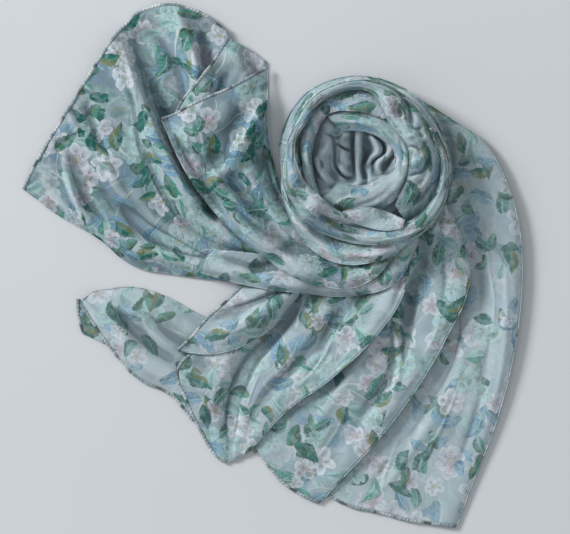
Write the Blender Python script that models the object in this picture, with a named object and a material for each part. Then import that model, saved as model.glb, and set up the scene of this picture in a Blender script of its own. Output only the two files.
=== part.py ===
"""A printed chiffon scarf lying on a floor: wound into a rosette, with its two ends spread out beside it.

One long panel with narrow rolled hems at its ends. Each stretch of the panel that shows is a thin wall
of its own. Its table has one row for each fold line, and the surface is a smooth sheet through those
lines. Every stretch is let down on what lies below it, from the floor upwards, so no wall touches
another. What the coil hides is one rounded solid.

Plan sizes are in millimetres on the layout: east from its left edge, and south from its far edge.
The finished objects are in metres, +Z up, with the middle of the layout on the world origin.
"""

from collections import namedtuple

import bpy
import numpy as np

MM = 0.001
LAYOUT_MIDDLE = (271.2, 265.0)  # the world origin on the layout
LAYOUT_SIDE = 560  # the square that holds the whole layout
CELL = 0.4  # side of the squares in which the height of the pile is kept

CLOTH = 1.6  # thickness of a cloth wall
CLOTH_ON_SLOPES = 1.7  # the most that the wall is deepened on a slope, measured straight down
GAP = 0.3  # between one wall and the next
SETTLED = 0.5  # cloth that would hang lower than this lies on the floor
FACET_ACROSS = 10.0  # spacing of the sheet's points across its folds
FACET_ALONG = 16.0  # and along them
FINE_ACROSS = 6.5  # the same, on the coil
FINE_ALONG = 10.0
HEM_WIDTH = 3.4
HEM_DEPTH = 2.4
CORNER_CELLS = 2  # how far a hem that turns a corner runs on past it, in cells of the stretch
BRIDGE = 5  # cloth spans dips in what lies below it that are narrower than about twice this
SOFTEN = 4  # half-width of the window that smooths a bed, BED_PASSES times over
BED_PASSES = 3
TRIES_TO_CLEAR = 6

COIL_MIDDLE = (365.0, 161.0)
COIL_RADIUS = 76.0  # the hidden solid's foot
COIL_CREST = 37.0  # height of the hidden ring
COIL_CREST_RADIUS = 52.0
COIL_HOLLOW = 16.0  # height of the hidden solid at the coil's middle
COIL_SHOULDER = 0.8  # under 1, the hidden solid's outer side is fuller than a cosine curve
COIL_RINGS = 11
COIL_SIDES = 32

SAMPLES_TO_A_POINT = 20  # when a fold line is measured
SAMPLES_TO_A_LINE = 24
SPOTS_TO_A_SIDE = 30  # when a facet is tested against the pile
HEM_ROLL = (0.6, 1.0, 0.6)  # a hem's height from its inner to its outer side, as shares of HEM_DEPTH

# name: the fold line. rises: how far the cloth stands above its bed along the line, in even steps.
# path: the line's plan points, from the first edge of the stretch to the last.
Fold = namedtuple("Fold", "name rises path")

# The long side that sweeps round the right. Lines run from the coil down to the end hem.
RIGHT_PANEL = (
    Fold(
        "side edge",
        (5, 8, 7, 4, 1),
        ((404, 92), (447, 118), (484, 145), (513, 205), (521, 275), (507, 380), (456, 525)),
    ),
    Fold(
        "side ridge",
        (6, 11, 10, 6, 3),
        ((409, 101), (448, 126), (481, 159), (507, 213), (513, 282), (496, 391), (449, 524)),
    ),
    Fold(
        "inner slope",
        (4, 9, 8, 4, 2),
        ((418, 113), (448, 140), (472, 177), (493, 226), (499, 292), (477, 400), (430, 522)),
    ),
    Fold(
        "soft valley",
        (2, 3, 3, 2, 1),
        ((427, 128), (447, 156), (461, 194), (474, 240), (484, 300), (458, 405), (404, 518)),
    ),
    Fold(
        "low ridge",
        (2, 3, 4, 4, 1),
        ((433, 142), (445, 170), (453, 208), (463, 258), (470, 318), (437, 412), (378, 511)),
    ),
    Fold(
        "under the fold",
        (1, 1, 0, 0, 0),
        ((436, 158), (442, 188), (446, 226), (452, 274), (454, 330), (414, 415), (350, 505)),
    ),
    Fold(
        "hidden edge",
        (1, 0, 0, 0, 0),
        ((437, 176), (438, 206), (437, 244), (438, 290), (436, 340), (392, 410), (328, 494)),
    ),
)

# The next layer, folded over the right panel. Its tie ridge narrows towards the open edge.
RIGHT_OVERFOLD = (
    Fold(
        "open edge",
        (7, 9, 8, 5, 1),
        ((441, 198), (461, 242), (468, 280), (440, 347), (394, 418), (320, 501)),
    ),
    Fold(
        "tie ridge",
        (9, 12, 11, 7, 2),
        ((435, 202), (451, 247), (453, 294), (428, 345), (382, 415), (311, 498)),
    ),
    Fold(
        "tie crease",
        (5, 4, 4, 3, 1),
        ((427, 209), (425, 256), (404, 310), (397, 352), (358, 415), (297, 491)),
    ),
    Fold(
        "broad ridge",
        (5, 6, 6, 4, 2),
        ((419, 216), (406, 268), (383, 322), (368, 362), (332, 415), (284, 482)),
    ),
    Fold(
        "shaded dip",
        (2, 2, 1, 1, 1),
        ((410, 224), (390, 282), (364, 328), (342, 368), (308, 410), (270, 466)),
    ),
    Fold(
        "hidden edge",
        (1, 1, 0, 0, 0),
        ((400, 232), (376, 292), (344, 332), (318, 364), (286, 400), (254, 448)),
    ),
)

# The middle fan. Its left side runs down to the end hem.
MIDDLE_FAN = (
    Fold(
        "open edge",
        (6, 8, 7, 4, 1),
        ((412, 246), (400, 298), (375, 335), (330, 378), (285, 411), (251, 449)),
    ),
    Fold(
        "first ridge",
        (7, 10, 8, 5, 2),
        ((402, 249), (389, 295), (364, 332), (321, 372), (277, 405), (247, 452)),
    ),
    Fold(
        "soft crease",
        (4, 5, 5, 3, 2),
        ((380, 254), (360, 296), (334, 328), (303, 361), (265, 397), (241, 455)),
    ),
    Fold(
        "second ridge",
        (6, 9, 8, 5, 2),
        ((352, 258), (330, 300), (306, 328), (281, 358), (253, 393), (236, 458)),
    ),
    Fold(
        "dark valley",
        (2, 1, 0, 0, 1),
        ((322, 264), (300, 302), (272, 336), (249, 362), (238, 396), (230, 460)),
    ),
    Fold(
        "third ridge",
        (5, 8, 8, 6, 2),
        ((292, 270), (268, 308), (244, 338), (225, 366), (217, 400), (224, 460)),
    ),
    Fold(
        "dip by the hem",
        (2, 2, 3, 3, 1),
        ((272, 280), (246, 316), (216, 344), (202, 370), (205, 404), (218, 456)),
    ),
    Fold(
        "hem side",
        (1, 1, 0, 0, 0),
        ((256, 290), (228, 320), (196, 350), (179, 370), (190, 405), (212, 450)),
    ),
)

# The near left corner, half under the middle fan. Lines start at its point.
CORNER_PANEL = (
    Fold("hem side", (0, 0, 1, 1), ((83, 304), (108, 342), (135, 374), (174, 396), (194, 420))),
    Fold("hem ridge", (4, 9, 9, 4), ((84, 301), (115, 333), (143, 360), (178, 380), (206, 402))),
    Fold("fold line", (3, 5, 3, 1), ((86, 299), (121, 321), (146, 342), (180, 364), (216, 384))),
    Fold("dark hollow", (3, 7, 1, 0), ((89, 296), (127, 310), (157, 325), (187, 346), (222, 364))),
    Fold("top ridge", (4, 8, 7, 2), ((93, 293), (130, 298), (163, 310), (192, 329), (227, 346))),
    Fold("top edge", (0, 0, 0, 0), ((99, 291), (132, 288), (166, 297), (196, 313), (232, 330))),
)

# A turned-under strip that shows below the corner panel.
CORNER_UNDERLAY = (
    Fold("hem side", (0, 1, 0), ((79, 299), (80, 316), (84, 333))),
    Fold("middle", (2, 3, 1), ((93, 300), (97, 322), (104, 342))),
    Fold("hidden edge", (0, 1, 0), ((110, 302), (116, 326), (126, 351))),
)

# The upper layer over the middle fan's left side. Lines run from its hem to the right.
UPPER_FLAP = (
    Fold("top edge", (1, 1, 1), ((246, 284), (268, 276), (291, 269), (316, 261))),
    Fold("top ridge", (4, 7, 6), ((228, 301), (253, 293), (279, 283), (311, 269))),
    Fold("dip", (2, 2, 2), ((209, 318), (236, 311), (266, 298), (306, 277))),
    Fold("open ridge", (5, 8, 7), ((192, 338), (225, 334), (257, 317), (302, 285))),
    Fold("open edge", (0, 0, 1), ((178, 351), (220, 352), (262, 334), (299, 294))),
)

# The left end of the scarf. Lines run from the end hem to the coil.
LEFT_PANEL = (
    Fold(
        "side edge",
        (0, 1, 1, 0),
        ((25, 190), (60, 215), (95, 235), (135, 265), (180, 274), (232, 281)),
    ),
    Fold(
        "lower ridge",
        (4, 10, 12, 7),
        ((33, 172), (64, 193), (96, 222), (136, 248), (182, 260), (240, 274)),
    ),
    Fold(
        "lower valley",
        (3, 3, 0, 2),
        ((46, 148), (82, 172), (112, 202), (146, 230), (188, 251), (247, 267)),
    ),
    Fold(
        "broad swell",
        (6, 7, 4, 3),
        ((66, 116), (92, 152), (118, 188), (150, 220), (190, 245), (252, 262)),
    ),
    Fold(
        "roll's left foot",
        (8, 8, 7, 5, 4),
        ((92, 74), (118, 110), (138, 156), (160, 199), (196, 234), (256, 259)),
    ),
    Fold(
        "long roll",
        (12, 22, 24, 20, 10),
        ((110, 46), (136, 93), (157, 144), (182, 189), (213, 224), (263, 255)),
    ),
    Fold(
        "roll's right foot",
        (3, 1, 1, 2, 3),
        ((124, 28), (152, 82), (173, 136), (196, 180), (224, 215), (269, 250)),
    ),
    Fold(
        "loop hollow",
        (2, 1, 3, 3),
        ((142, 12), (171, 62), (188, 118), (208, 170), (236, 208), (276, 244)),
    ),
    Fold(
        "loop ridge",
        (9, 15, 10, 4),
        ((170, 6), (188, 52), (202, 106), (222, 156), (248, 201), (283, 240)),
    ),
    Fold(
        "loop dip",
        (5, 5, 4, 3),
        ((198, 13), (208, 58), (222, 104), (240, 150), (262, 196), (290, 236)),
    ),
    Fold(
        "right edge",
        (6, 6, 3, 1),
        ((224, 30), (240, 72), (254, 112), (268, 148), (280, 190), (298, 232)),
    ),
)

# The end's corner, turned back over the loop. Lines run away from the coil's side.
TURNED_CORNER = (
    Fold("doubled hem side", (1, 1, 1), ((229, 40), (205, 76), (181, 106), (172, 128))),
    Fold("swell", (4, 5, 3), ((241, 46), (222, 84), (204, 118), (196, 140))),
    Fold("dip", (2, 2, 1), ((254, 54), (242, 92), (228, 128), (220, 150))),
    Fold("right edge", (1, 1, 1), ((266, 63), (264, 96), (254, 132), (246, 156))),
)

# The band that passes below the coil, over the left panel's tip. Lines run from its left tip to the right.
LOWER_BAND = (
    Fold(
        "open edge",
        (0, 0, 0, 0, 2),
        ((202, 272), (250, 285), (300, 292), (350, 295), (393, 283), (419, 240)),
    ),
    Fold(
        "low ridge",
        (4, 8, 8, 7, 5),
        ((204, 265), (251, 276), (300, 283), (348, 286), (386, 275), (413, 236)),
    ),
    Fold(
        "crease",
        (4, 4, 3, 3, 3),
        ((207, 258), (252, 266), (300, 273), (345, 276), (379, 266), (406, 232)),
    ),
    Fold(
        "hidden edge",
        (1, 2, 2, 3, 2),
        ((214, 250), (252, 253), (300, 261), (341, 265), (372, 256), (399, 228)),
    ),
)

# The top layer of the left end, under its hem. Its lines bend round into the lower band.
LEFT_FLAP = (
    Fold(
        "left edge",
        (1, 1, 1, 1, 1),
        ((163, 121), (190, 177), (221, 218), (254, 248), (304, 280), (356, 286), (408, 244)),
    ),
    Fold(
        "left ridge",
        (7, 13, 11, 8, 5),
        ((177, 115), (204, 168), (236, 210), (266, 241), (308, 269), (355, 275), (402, 238)),
    ),
    Fold(
        "hollow",
        (4, 1, 2, 3, 3),
        ((198, 104), (219, 157), (249, 204), (277, 233), (314, 260), (355, 265), (396, 232)),
    ),
    Fold(
        "right ridge",
        (6, 11, 10, 7, 5),
        ((234, 88), (244, 145), (263, 196), (288, 226), (320, 250), (355, 255), (391, 227)),
    ),
    Fold(
        "right edge",
        (2, 2, 2, 2, 2),
        ((267, 69), (267, 137), (277, 188), (298, 220), (327, 241), (356, 246), (386, 222)),
    ),
)

# The folds inside the coil, from its left wall to its right.
CORE = (
    Fold("left wall", (8, 9, 8), ((303, 200), (300, 160), (310, 122))),
    Fold("left groove", (1, 0, 1), ((315, 206), (312, 162), (320, 120))),
    Fold("left fold", (5, 7, 5), ((326, 207), (322, 166), (330, 119))),
    Fold("dark groove", (1, 0, 1), ((335, 207), (334, 162), (338, 118))),
    Fold("middle fold", (3, 4, 4), ((343, 206), (344, 160), (346, 117))),
    Fold("thin groove", (1, 1, 1), ((351, 205), (351, 160), (352, 117))),
    Fold("grey ridge", (6, 10, 7), ((359, 204), (358, 160), (358, 116))),
    Fold("right groove", (1, 0, 1), ((367, 203), (365, 162), (366, 116))),
    Fold("winding ridge", (6, 11, 7), ((374, 202), (369, 176), (379, 155), (373, 138), (375, 118))),
    Fold("last groove", (2, 3, 2), ((386, 200), (387, 160), (386, 120))),
    Fold("right wall", (4, 5, 4), ((396, 196), (400, 160), (394, 126))),
)

# A turn of the coil. first and last: its bearings in degrees, anticlockwise from east. rise: how far its
# crest stands above its bed. radii: its outer edge. widths: how broad it is. Both are in even steps from
# the first bearing to the last.
Turn = namedtuple("Turn", "name first last rise radii widths")

# Lowest first. They are narrow on the left and broad where they come round to the near side and the right.
TURNS = (
    Turn(
        "coil_core_ring", -138, 130, 8,
        (69, 57, 48, 49, 48, 46, 51, 60),
        (34, 30, 26, 20, 18, 19, 22, 20),
    ),
    Turn(
        "coil_outer_turn", -45, 203, 6,
        (93, 86.5, 79, 80.5, 84.7, 88.8, 86.3, 83),
        (12, 12, 13, 11, 10, 10, 10, 9),
    ),
    Turn("coil_left_turn", 66, 222, 9, (71, 76, 78, 72, 68, 70), (26, 27, 19, 16, 13, 9)),
    Turn(
        "coil_right_turn", -56, 196, 9,
        (80, 76.5, 70, 73, 78.5, 80.5, 78, 75),
        (26, 31, 26, 31, 10, 7, 7, 7),
    ),
    Turn(
        "coil_low_band", 180, 350, 8,
        (83, 89, 99, 105, 100, 92, 91, 88),
        (4, 12, 23, 27, 24, 17, 10, 5),
    ),
    Turn(
        "coil_near_band", 140, 385, 7,
        (74, 79, 84, 86, 82, 83.5, 89, 87, 82, 75),
        (4, 6, 17, 27, 23, 20, 14, 9, 6, 4),
    ),
)
CREST_AT = 0.45  # a turn's crest, as a share of its width from the outer edge

# A small fold that lies on the near band like a leaf.
LEAF_FOLD = (
    Fold("far edge", (0, 1, 0), ((343, 213), (364, 209), (384, 213), (402, 221))),
    Fold("crest", (1, 4, 1), ((344, 216), (365, 217), (385, 221), (401, 224))),
    Fold("near edge", (0, 1, 0), ((346, 219), (364, 226), (384, 230), (400, 228))),
)

GREY_BLUE = (0.20, 0.28, 0.31, 1.0)
PALE_MINT = (0.33, 0.46, 0.48, 1.0)
SHADED_BLUE = (0.15, 0.22, 0.25, 1.0)
HEM_WHITE = (0.55, 0.58, 0.59, 1.0)
CLOTH_ROUGHNESS = 0.85


def smooth_through(values, knots, at):
    """Values at new positions on a smooth curve through the given ones, without a kink at any knot."""
    values = np.asarray(values, float)
    spans = np.diff(knots)
    slopes = np.diff(values, axis=0) / spans.reshape(-1, *[1] * (values.ndim - 1))
    tangents = np.concatenate([slopes[:1], 0.5 * (slopes[1:] + slopes[:-1]), slopes[-1:]])
    piece = np.clip(np.searchsorted(knots, at, side="right") - 1, 0, len(spans) - 1)
    width = spans[piece].reshape(-1, *[1] * (values.ndim - 1))
    t = ((at - knots[piece]) / spans[piece]).reshape(-1, *[1] * (values.ndim - 1))
    start = values[piece] + t * width * tangents[piece] * (1 - t)
    end = values[piece + 1] - (1 - t) * width * tangents[piece + 1] * t
    blend = t * t * (3 - 2 * t)
    return start * (1 - blend) + end * blend


def even_steps(count):
    return np.linspace(0.0, 1.0, count)


def turn_folds(turn):
    """The fold lines of a turn of the coil: its outer edge, crest and inner edge."""
    bearings = np.radians(np.linspace(turn.first, turn.last, len(turn.radii)))
    ways = np.stack([np.cos(bearings), -np.sin(bearings)], axis=1)
    folds = []
    lines = (("outer edge", 0.0, 1), ("crest", CREST_AT, turn.rise), ("inner edge", 1.0, 1))
    for name, share, rise in lines:
        radii = np.array(turn.radii) - share * np.array(turn.widths)
        end = 0.5 * (1 + rise)
        folds.append(Fold(name, (end, rise, rise, rise, end), COIL_MIDDLE + radii[:, None] * ways))
    return folds


def line_points(fold, count):
    """Points evenly spaced along a fold line, as (count, 3): east, south and rise."""
    path = np.array(fold.path, float)
    chords = np.concatenate([[0.0], np.cumsum(np.linalg.norm(np.diff(path, axis=0), axis=1))])
    fine = smooth_through(path, chords, np.linspace(0.0, chords[-1], SAMPLES_TO_A_POINT * len(path)))
    lengths = np.concatenate([[0.0], np.cumsum(np.linalg.norm(np.diff(fine, axis=0), axis=1))])
    wanted = even_steps(count) * lengths[-1]
    plan = np.stack([np.interp(wanted, lengths, fine[:, axis]) for axis in range(2)], axis=1)
    rise = smooth_through(fold.rises, even_steps(len(fold.rises)), even_steps(count))
    return np.column_stack([plan, rise])


def sheet_points(folds, across_step, along_step):
    """The smooth sheet through a table of fold lines, as an (across, along, 3) grid."""
    sample = np.stack([line_points(fold, SAMPLES_TO_A_LINE) for fold in folds])
    along_length = np.linalg.norm(np.diff(sample[..., :2], axis=1), axis=2).sum(axis=1).max()
    steps = np.linalg.norm(np.diff(sample[..., :2], axis=0), axis=2)
    knots = np.concatenate([[0.0], np.cumsum(steps.mean(axis=1))])
    along = max(4, int(round(along_length / along_step)) + 1)
    across = max(len(folds), int(round(steps.sum(axis=0).max() / across_step)) + 1)
    lines = np.stack([line_points(fold, along) for fold in folds])
    grid = smooth_through(lines, knots, np.linspace(0.0, knots[-1], across))
    grid[..., 2] = np.maximum(grid[..., 2], 0.0)
    return grid


def grid_triangles(across, along):
    """Corners of the two triangles in each cell of a grid, counted row by row."""
    first = (np.arange(across - 1)[:, None] * along + np.arange(along - 1)).reshape(-1)
    right = first + along
    return np.concatenate(
        [
            np.stack([first, first + 1, right], axis=1),
            np.stack([right, first + 1, right + 1], axis=1),
        ]
    )


def spots_in(points, triangles):
    """Points spread evenly over each triangle, as (triangles, spots, 3)."""
    steps = SPOTS_TO_A_SIDE
    shares = [(i, j, steps - i - j) for i in range(steps + 1) for j in range(steps + 1 - i)]
    return np.einsum("sk,tkc->tsc", np.array(shares, float) / steps, points[triangles])


def running_mean(values, reach, axis):
    """The mean of the values within reach on both sides of each one, along one axis."""
    pad = [(0, 0), (0, 0)]
    pad[axis] = (reach + 1, reach)
    total = np.cumsum(np.pad(values, pad, mode="edge"), axis=axis)
    window = 2 * reach + 1
    count = values.shape[axis]
    after = np.take(total, np.arange(window, window + count), axis=axis)
    before = np.take(total, np.arange(count), axis=axis)
    return (after - before) / window


class Pile:
    """The height of everything laid down so far, on a grid of square cells."""

    def __init__(self):
        side = int(LAYOUT_SIDE / CELL)
        self.height = np.zeros((side, side))

    def cells(self, east, south):
        last = len(self.height) - 1
        column = np.clip(np.rint(east / CELL), 0, last).astype(int)
        row = np.clip(np.rint(south / CELL), 0, last).astype(int)
        return row, column

    def lay(self, points, triangles):
        spots = spots_in(points, triangles).reshape(-1, 3)
        np.maximum.at(self.height, self.cells(spots[:, 0], spots[:, 1]), spots[:, 2])

    def highest_within(self, reach):
        """The highest point within reach of each cell, in cells, along both axes."""
        found = self.height
        for axis in (0, 1):
            shifted = [np.roll(found, step, axis) for step in range(-reach, reach + 1)]
            found = np.maximum.reduce(shifted)
        return found

    def bed(self):
        """The smooth surface that a cloth let down on the pile would follow."""
        soft = self.highest_within(int(BRIDGE / CELL))
        for axis in (0, 1) * BED_PASSES:
            soft = running_mean(soft, int(SOFTEN / CELL), axis)
        return soft

    def slack(self, points, triangles):
        """How far above its lowest allowed height each spot of a wall's underside is."""
        spots = spots_in(points, triangles)
        nearby = self.highest_within(1)[self.cells(spots[..., 0], spots[..., 1])]
        return spots[..., 2] - np.where(nearby > 0, nearby + GAP, 0.0)

    def settle(self, points, triangles):
        """Raises corners, a little at a time, until every facet clears the pile. Then lets the whole down."""
        for attempt in range(TRIES_TO_CLEAR):
            lacking = np.maximum(-self.slack(points, triangles), 0.0).max(axis=1)
            share = 1.0 if attempt == TRIES_TO_CLEAR - 1 else 0.5
            lift = np.zeros(len(points))
            np.maximum.at(lift, triangles.reshape(-1), np.repeat(lacking * share, 3))
            points[:, 2] += lift
        points[:, 2] -= max(0.0, self.slack(points, triangles).min())
        return points


def steepness(points, triangles):
    """For each corner, how much longer a straight drop through a level-thick wall is than its thickness."""
    corners = points[triangles]
    normals = np.cross(corners[:, 1] - corners[:, 0], corners[:, 2] - corners[:, 0])
    total = np.zeros_like(points)
    for corner in range(3):
        np.add.at(total, triangles[:, corner], normals)
    upright = np.abs(total[:, 2]) / np.linalg.norm(total, axis=1)
    return np.minimum(1.0 / np.maximum(upright, 1e-6), CLOTH_ON_SLOPES)


def border_of(across, along):
    """The numbers of a grid's border points, in order round it."""
    near = np.arange(along)
    side = np.arange(1, across) * along + along - 1
    far = (across - 1) * along + np.arange(along - 2, -1, -1)
    back = np.arange(across - 2, 0, -1) * along
    return np.concatenate([near, side, far, back])


def add_object(name, points, faces, colour):
    """A named mesh object with its own material, from points on the layout."""
    world = np.column_stack(
        [points[:, 0] - LAYOUT_MIDDLE[0], LAYOUT_MIDDLE[1] - points[:, 1], points[:, 2]]
    )
    mesh = bpy.data.meshes.new(name)
    mesh.from_pydata((world * MM).tolist(), [], faces.tolist())
    material = bpy.data.materials.new(name)
    material.use_nodes = True
    shader = material.node_tree.nodes["Principled BSDF"]
    shader.inputs["Base Color"].default_value = colour
    shader.inputs["Roughness"].default_value = CLOTH_ROUGHNESS
    shader.inputs["Metallic"].default_value = 0.0
    mesh.materials.append(material)
    mesh.shade_smooth()
    made = bpy.data.objects.new(name, mesh)
    bpy.context.scene.collection.objects.link(made)
    return made


def add_wall(name, under, over, across, along, colour):
    """A closed wall between two grids that share their plan points."""
    triangles = facing_up(grid_triangles(across, along), over)
    count = across * along
    border = border_of(across, along)
    if not turns_left(over[border]):
        border = border[::-1]
    following = np.roll(border, -1)
    sides = np.concatenate(
        [
            np.stack([border + count, following, following + count], axis=1),
            np.stack([border + count, border, following], axis=1),
        ]
    )
    faces = np.concatenate([triangles + count, triangles[:, ::-1], sides])
    return add_object(name, np.concatenate([under, over]), faces, colour)


def turns_left(loop):
    """True if a closed plan loop runs anticlockwise when seen from above, where south is down."""
    following = np.roll(loop, -1, axis=0)
    return (loop[:, 0] * following[:, 1] - following[:, 0] * loop[:, 1]).sum() < 0


def facing_up(triangles, points):
    """A grid's triangles turned so that they face up. South is down on the layout, which mirrors it."""
    corners = points[triangles]
    first, second = corners[:, 1] - corners[:, 0], corners[:, 2] - corners[:, 0]
    turned = (first[:, 0] * second[:, 1] - first[:, 1] * second[:, 0]).sum() > 0
    return triangles[:, ::-1] if turned else triangles


def lay_stretch(name, folds, pile, colour, hem_along=None, steps=(FACET_ACROSS, FACET_ALONG)):
    """Lets one stretch of cloth down on the pile, with a rolled hem along one edge if it has one."""
    grid = sheet_points(folds, *steps)
    across, along = grid.shape[:2]
    under = grid.reshape(-1, 3)
    triangles = grid_triangles(across, along)
    under[:, 2] += pile.bed()[pile.cells(under[:, 0], under[:, 1])]
    under[:, 2] = np.where(under[:, 2] < SETTLED, 0.0, under[:, 2])
    under = pile.settle(under, triangles)
    over = under.copy()
    over[:, 2] += CLOTH * steepness(under, triangles)
    add_wall(name, under, over, across, along, colour)
    laid = [(over, triangles)]
    if hem_along:
        laid.append(lay_hem(name, hem_along, over.reshape(across, along, 3), pile))
    for points, faces in laid:
        pile.lay(points, faces)


def hem_line(over, edge):
    """The wall's border points along the named edge, in order."""
    return {
        "first line": over[0],
        "start": over[:, 0],
        "end": over[:, -1],
        "last line and corner": np.concatenate([over[-1], over[-2 : -2 - CORNER_CELLS : -1, -1]]),
    }[edge]


def lay_hem(stretch, edge, over, pile):
    """A rolled hem just outside one edge of a stretch, from the stretch's own border points."""
    line = hem_line(over, edge)
    middle = over.reshape(-1, 3).mean(axis=0)
    tangent = np.gradient(line[:, :2], axis=0)
    tangent /= np.linalg.norm(tangent, axis=1)[:, None]
    outwards = np.stack([tangent[:, 1], -tangent[:, 0]], axis=1)
    outwards *= np.sign((outwards * (line[:, :2] - middle[:2])).sum())
    offsets = GAP + HEM_WIDTH * even_steps(len(HEM_ROLL))
    under = np.repeat(line[None], len(HEM_ROLL), axis=0)
    under[..., :2] += offsets[:, None, None] * outwards
    under[..., 2] -= 0.5 * (CLOTH + HEM_DEPTH)
    under[..., 2] = np.maximum(under[..., 2], 0.0)
    across, along = under.shape[:2]
    under = under.reshape(-1, 3)
    triangles = grid_triangles(across, along)
    under = pile.settle(under, triangles)
    over = under.reshape(across, along, 3).copy()
    over[..., 2] += HEM_DEPTH * np.array(HEM_ROLL)[:, None]
    over = over.reshape(-1, 3)
    add_wall(stretch + "_hem", under, over, across, along, HEM_WHITE)
    return over, triangles


def lay_hidden_layers(pile):
    """The rounded solid that stands for the layers that the coil hides, flat on the floor."""
    turn = np.arange(COIL_SIDES) / COIL_SIDES * 2 * np.pi
    radii = np.linspace(0.0, COIL_RADIUS, COIL_RINGS + 1)[1:]
    inside = 0.5 - 0.5 * np.cos(np.pi * np.minimum(radii / COIL_CREST_RADIUS, 1.0))
    beyond = np.clip((radii - COIL_CREST_RADIUS) / (COIL_RADIUS - COIL_CREST_RADIUS), 0.0, 1.0)
    heights = COIL_HOLLOW + (COIL_CREST - COIL_HOLLOW) * inside
    heights = CLOTH + (heights - CLOTH) * np.cos(0.5 * np.pi * beyond) ** COIL_SHOULDER
    plan = np.array(COIL_MIDDLE) + radii[:, None, None] * np.stack([np.cos(turn), np.sin(turn)], axis=1)
    rings = np.concatenate([plan, np.broadcast_to(heights[:, None, None], plan.shape[:2] + (1,))], axis=2)
    foot = rings[-1] * (1.0, 1.0, 0.0)
    middles = [(*COIL_MIDDLE, COIL_HOLLOW), (*COIL_MIDDLE, 0.0)]
    points = np.concatenate([rings.reshape(-1, 3), foot, middles])
    here = np.arange(COIL_SIDES)
    after = (here + 1) % COIL_SIDES
    top = COIL_SIDES * (COIL_RINGS + 1)
    cap = np.stack([after, here, np.full(COIL_SIDES, top)], axis=1)
    bands = []
    for ring in range(COIL_RINGS):
        inner, outer = ring * COIL_SIDES, (ring + 1) * COIL_SIDES
        bands.append(np.stack([inner + here, inner + after, outer + here], axis=1))
        bands.append(np.stack([inner + after, outer + after, outer + here], axis=1))
    last = COIL_RINGS * COIL_SIDES
    floor = np.stack([last + here, last + after, np.full(COIL_SIDES, top + 1)], axis=1)
    add_object("coil_hidden_layers", points, np.concatenate([cap, *bands, floor]), SHADED_BLUE)
    pile.lay(points, np.concatenate([cap, *bands[:-2]]))


def clear_scene():
    for old in list(bpy.data.objects):
        bpy.data.objects.remove(old, do_unlink=True)


def build():
    clear_scene()
    pile = Pile()
    lay_hidden_layers(pile)
    lay_stretch("right_panel", RIGHT_PANEL, pile, PALE_MINT, hem_along="end")
    lay_stretch("right_overfold", RIGHT_OVERFOLD, pile, GREY_BLUE, hem_along="end")
    lay_stretch("corner_underlay", CORNER_UNDERLAY, pile, GREY_BLUE, hem_along="first line")
    lay_stretch("corner_panel", CORNER_PANEL, pile, PALE_MINT, hem_along="first line")
    lay_stretch("middle_fan", MIDDLE_FAN, pile, GREY_BLUE, hem_along="last line and corner")
    lay_stretch("upper_flap", UPPER_FLAP, pile, PALE_MINT, hem_along="start")
    lay_stretch("left_panel", LEFT_PANEL, pile, PALE_MINT, hem_along="start")
    lay_stretch("turned_corner", TURNED_CORNER, pile, GREY_BLUE, hem_along="first line")
    lay_stretch("lower_band", LOWER_BAND, pile, GREY_BLUE)
    lay_stretch("left_flap", LEFT_FLAP, pile, PALE_MINT, hem_along="start")
    lay_stretch("coil_core", CORE, pile, SHADED_BLUE, steps=(FINE_ACROSS, FINE_ALONG))
    for index, turn in enumerate(TURNS):
        colour = (PALE_MINT, GREY_BLUE)[index % 2]
        lay_stretch(turn.name, turn_folds(turn), pile, colour, steps=(FINE_ACROSS, FINE_ALONG))
    lay_stretch("coil_leaf_fold", LEAF_FOLD, pile, PALE_MINT, steps=(FINE_ACROSS, FINE_ALONG))


if __name__ == "__main__":
    build()
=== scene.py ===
"""A printed chiffon scarf lying on a floor, wound into a rosette with its ends spread out beside it.

Laid out as a Blender add-on. Each stretch of the scarf that shows is a thin shell, let down on what lies
below it from the floor upwards. Its folds come from short tables with one row for each fold line. The
blossom and leaf print is worked out by the material, on the cloth's own flat coordinates in metres.

Plan sizes are in millimetres on the layout: east from its left edge, and south from its far edge.
"""

import math
from collections import namedtuple

import bmesh
import bpy
import numpy as np
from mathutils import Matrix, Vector


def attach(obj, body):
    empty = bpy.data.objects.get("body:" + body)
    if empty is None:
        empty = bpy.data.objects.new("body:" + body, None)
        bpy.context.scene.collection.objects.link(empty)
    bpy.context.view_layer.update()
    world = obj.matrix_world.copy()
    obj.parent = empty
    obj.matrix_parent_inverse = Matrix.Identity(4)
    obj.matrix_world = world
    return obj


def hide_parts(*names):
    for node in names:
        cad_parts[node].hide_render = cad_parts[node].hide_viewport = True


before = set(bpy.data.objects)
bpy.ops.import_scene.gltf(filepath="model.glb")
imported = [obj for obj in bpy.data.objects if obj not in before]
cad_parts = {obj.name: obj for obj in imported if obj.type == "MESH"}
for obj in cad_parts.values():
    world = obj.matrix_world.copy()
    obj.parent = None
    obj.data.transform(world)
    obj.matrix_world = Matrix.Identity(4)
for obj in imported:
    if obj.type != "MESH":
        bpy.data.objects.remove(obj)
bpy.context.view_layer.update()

bl_info = {
    "name": "Chiffon Scarf",
    "version": (1, 0, 0),
    "blender": (4, 5, 0),
    "location": "View3D > Sidebar > Scarf",
    "description": "Builds a printed chiffon scarf, wound into a rosette on a floor",
    "category": "Add Mesh",
}

MM = 0.001
LAYOUT_MIDDLE = (271.2, 265.0)  # the world origin on the layout
LAYOUT_SIDE = 560  # the square that holds the whole layout

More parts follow.
